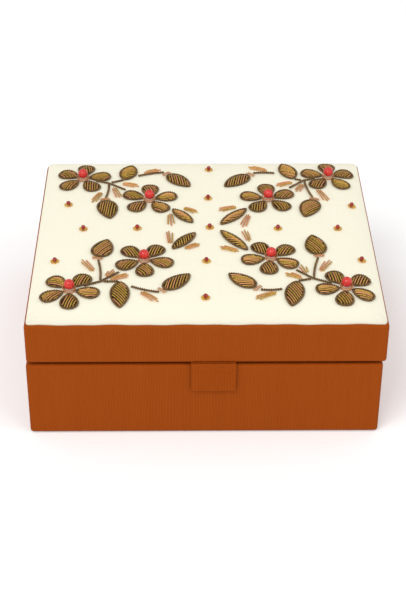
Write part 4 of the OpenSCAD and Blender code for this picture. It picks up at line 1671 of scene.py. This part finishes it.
@dataclass
class BackHinge:
    """The hinge cloth of the back and the lining strip over the seam."""

    seam_z: float = 49.0
    hinge_y: float = 90.0
    dip: float = 0.5
    dip_reach: float = 1.4
    cloth_bend: float = 1.5
    strip_t: float = 0.5
    fold_r: float = 2.2
    columns: int = 24
    near_rows: int = 6
    far_row: float = 12.0
    low_row: float = 10.0
    fold_steps: int = 16
    fold_ease: float = 0.3

    def band(self, name: str, node: str, rings: list[list[Place]], finish: Material) -> None:
        """Makes a cloth from flat rings that run from the base to the lid.

        Args:
            name: The piece's name.
            node: The node that it stands for.
            rings: Its sections from the bottom to the top.
            finish: Its finish.
        """
        sculpt = Sculpt()
        first = sculpt.ring_stack(rings)
        sculpt.ends(first, len(rings[0]), len(rings))
        piece = sculpt.build(name, finish)
        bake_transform(piece)
        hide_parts(node)
        LOG.info("%s bends from base to lid", piece.name)

    def across(self, left: float, right: float) -> list[float]:
        """Places along X from one end of a cloth to the other."""
        return [left + (right - left) * k / self.columns for k in range(self.columns + 1)]

    def cloth(self, wardrobe: Wardrobe) -> None:
        """Makes the hinge cloth, which bends at the seam.

        Args:
            wardrobe: The finishes.
        """
        low, high = (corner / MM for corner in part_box("hinge_cloth"))
        levels = [low[2], low[2] + self.low_row, self.seam_z - self.far_row]
        levels += [self.seam_z + i for i in range(-self.near_rows, self.near_rows + 1)]
        levels += [self.seam_z + self.far_row, high[2]]
        across = self.across(low[0], high[0])
        rings = []
        for z in levels:
            dip = self.dip * math.exp(-((z - self.seam_z) / self.dip_reach) ** 2)
            inner = [(x, low[1] - dip, z) for x in reversed(across)]
            rings.append(inner + [(x, high[1] - dip, z) for x in across])
        self.band("hinge_cloth_back", "hinge_cloth", rings, wardrobe.ribbed)

    def strip(self, wardrobe: Wardrobe) -> None:
        """Makes the inner strip with its fold of slack.

        Args:
            wardrobe: The finishes.
        """
        low, high = (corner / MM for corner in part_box("inner_hinge_strip"))
        mid = self.strip_t / 2
        bend_r = self.fold_r - mid
        face_y, fold_y = high[1] - mid, low[1] + self.fold_r
        lower = [(face_y, low[2]), (face_y, self.seam_z - bend_r - 1),
                 (face_y - self.fold_ease, self.seam_z - bend_r)]
        turns = [math.pi * i / self.fold_steps for i in range(self.fold_steps + 1)]
        fold = [(fold_y - bend_r * math.sin(turn), self.seam_z - bend_r * math.cos(turn)) for turn in turns]
        path = lower + fold + [(y, 2 * self.seam_z - z) for y, z in reversed(lower)]
        across = self.across(low[0], high[0])
        rings = []
        for i, (y, z) in enumerate(path):
            along = unit(path[max(i - 1, 0)], path[min(i + 1, len(path) - 1)])
            dy, dz = along[1] * mid, -along[0] * mid
            face = [(x, y + dy, z + dz) for x in across]
            rings.append(face + [(x, y - dy, z - dz) for x in reversed(across)])
        self.band("inner_strip", "inner_hinge_strip", rings, wardrobe.lining)

    def build(self, wardrobe: Wardrobe) -> None:
        """Makes both hinge pieces."""
        self.cloth(wardrobe)
        self.strip(wardrobe)


@dataclass
class PullTab:
    """The doubled ribbon that lifts the lid."""

    width: float = 25.0
    thickness: float = 1.2
    rib: float = 1.2
    rib_h: float = 0.17
    rows_per_rib: int = 4
    edge_squeeze: float = 0.55
    edge_from: float = 0.98
    fold_steps: int = 8
    columns: tuple[float, ...] = (0.0, 0.2, 0.4, 0.6, 0.8, 0.9, 0.925, 0.955, 0.985, 1.0)

    def build(self, wardrobe: Wardrobe) -> None:
        """Makes the ribbed ribbon, thinner at its woven edges.

        Args:
            wardrobe: The finishes.
        """
        low, high = (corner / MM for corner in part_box("pull_tab"))
        cx, cy = (low[0] + high[0]) / 2, (low[1] + high[1]) / 2
        radius = self.thickness / 2
        top = high[2] - radius
        rows = int((top - low[2]) / (self.rib / self.rows_per_rib))
        face = []
        for i in range(rows + 1):
            z = low[2] + (top - low[2]) * i / rows
            wave = self.rib_h * math.cos(2 * math.pi * (z - low[2]) / self.rib)
            face.append((radius - self.rib_h + wave, z))
        turns = [math.pi * i / self.fold_steps for i in range(1, self.fold_steps)]
        section = [(-y, z) for y, z in face]
        section += [(-radius * math.cos(turn), top + radius * math.sin(turn)) for turn in turns]
        section += reversed(face)
        rings = []
        for share in [-share for share in reversed(self.columns[1:])] + list(self.columns):
            squeeze = self.edge_squeeze if abs(share) > self.edge_from else 1.0
            x = cx + share * self.width / 2
            rings.append([(x, cy + y * squeeze, z) for y, z in section])
        sculpt = Sculpt()
        first = sculpt.ring_stack(rings)
        sculpt.ends(first, len(section), len(rings))
        piece = sculpt.build("pull_ribbon", wardrobe.ribbed)
        settle(piece, "tab", "ribbed_cloth", "pull_tab")


@dataclass(frozen=True)
class Lamp:
    """One soft lamp that aims at the box."""

    name: str
    place: Place
    size: float
    power: float
    aim: Place = (0, 0, 0.05)

    def hang(self) -> None:
        """Hangs the lamp."""
        data = bpy.data.lights.new(self.name, "AREA")
        data.shape = "SQUARE"
        data.size = self.size
        data.energy = self.power
        lamp = bpy.data.objects.new(self.name, data)
        lamp.location = self.place
        way = Vector(self.aim) - Vector(self.place)
        lamp.rotation_euler = way.to_track_quat("-Z", "Y").to_euler()
        bpy.context.scene.collection.objects.link(lamp)


@dataclass
class Studio:
    """Camera, floor and soft light."""

    camera_at: Place = (-12.2, -744.8, 539.5)
    pitch: float = 34.427
    yaw: float = -0.919
    roll: float = 0.355
    focal_px: float = 1473.77
    frame_px: int = 605
    sensor: float = 36.0
    clip: Point = (0.05, 50.0)
    floor_half: float = 6000
    floor_z: float = -0.1
    floor_colour: Colour = (0.93, 0.93, 0.925, 1.0)
    floor_roughness: float = 0.9
    floor_specular: float = 0.1
    floor_glow: float = 0.16
    white: Colour = (1.0, 1.0, 1.0, 1.0)
    sky_strength: float = 0.62
    lamps: tuple[Lamp, ...] = (
        Lamp("key", (-0.9, -1.3, 1.9), size=1.4, power=26),
        Lamp("fill", (1.3, -0.9, 1.5), size=1.6, power=9))

    def camera(self) -> None:
        """Places the camera where the photograph was taken."""
        data = bpy.data.cameras.new("photo_camera")
        data.sensor_width = self.sensor
        data.lens = self.focal_px / self.frame_px * self.sensor
        data.clip_start, data.clip_end = self.clip
        camera = bpy.data.objects.new("photo_camera", data)
        turn = Matrix.Identity(4)
        for degrees, axis in ((self.yaw, "Z"), (90 - self.pitch, "X"), (self.roll, "Z")):
            turn = turn @ Matrix.Rotation(math.radians(degrees), 4, axis)
        camera.matrix_world = Matrix.Translation(Vector(self.camera_at) * MM) @ turn
        bpy.context.scene.collection.objects.link(camera)
        bpy.context.scene.camera = camera
        bpy.context.scene.view_settings.view_transform = "Standard"

    def floor(self) -> None:
        """Lays the pale floor."""
        half = self.floor_half
        corners = [(x * half, y * half, self.floor_z) for x, y in ((-1, -1), (1, -1), (1, 1), (-1, 1))]
        material = bpy.data.materials.new("pale_floor")
        material.use_nodes = True
        canvas = NodeCanvas(material.node_tree)
        shader = material.node_tree.nodes["Principled BSDF"]
        shader.inputs["Base Color"].default_value = self.floor_colour
        shader.inputs["Roughness"].default_value = self.floor_roughness
        shader.inputs["Specular IOR Level"].default_value = self.floor_specular
        path = canvas.node("ShaderNodeLightPath")
        seen = canvas.math("MAXIMUM", path.outputs["Is Camera Ray"], path.outputs["Is Glossy Ray"])
        shader.inputs["Emission Color"].default_value = self.white
        canvas.tree.links.new(canvas.times(seen, self.floor_glow), shader.inputs["Emission Strength"])
        floor = Sculpt(points=corners, faces=[(0, 1, 2, 3)]).build("floor", material, smooth=False)

    def light(self) -> None:
        """Lights the scene softly from above and the front."""
        world = bpy.data.worlds.new("studio")
        bpy.context.scene.world = world
        world.use_nodes = True
        background = world.node_tree.nodes["Background"]
        background.inputs[0].default_value = self.white
        background.inputs[1].default_value = self.sky_strength
        for lamp in self.lamps:
            lamp.hang()

    def build(self) -> None:
        """Sets up the studio."""
        self.camera()
        self.floor()
        self.light()


def main() -> None:
    """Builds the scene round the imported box."""
    logging.basicConfig(level=logging.INFO, format="%(message)s")
    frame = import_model()
    Studio().build()
    wardrobe = Wardrobe()
    form = PanelForm()
    Carcass().build(frame, wardrobe)
    SilkPanel(form).build(frame, wardrobe)
    embroidery = Embroidery(form)
    embroidery.build(wardrobe)
    Beadwork(form, embroidery).build(wardrobe)
    InnerPad("floor_cushion", "floor_pad", "base", edge_h=3.0, rise=2.0, upward=True).build(wardrobe)
    InnerPad("ceiling_cushion", "ceiling_pad", "lid", edge_h=2.0, rise=2.0, upward=False).build(wardrobe)
    BackHinge().build(wardrobe)
    PullTab().build(wardrobe)
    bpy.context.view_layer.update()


if __name__ == "__main__":
    main()
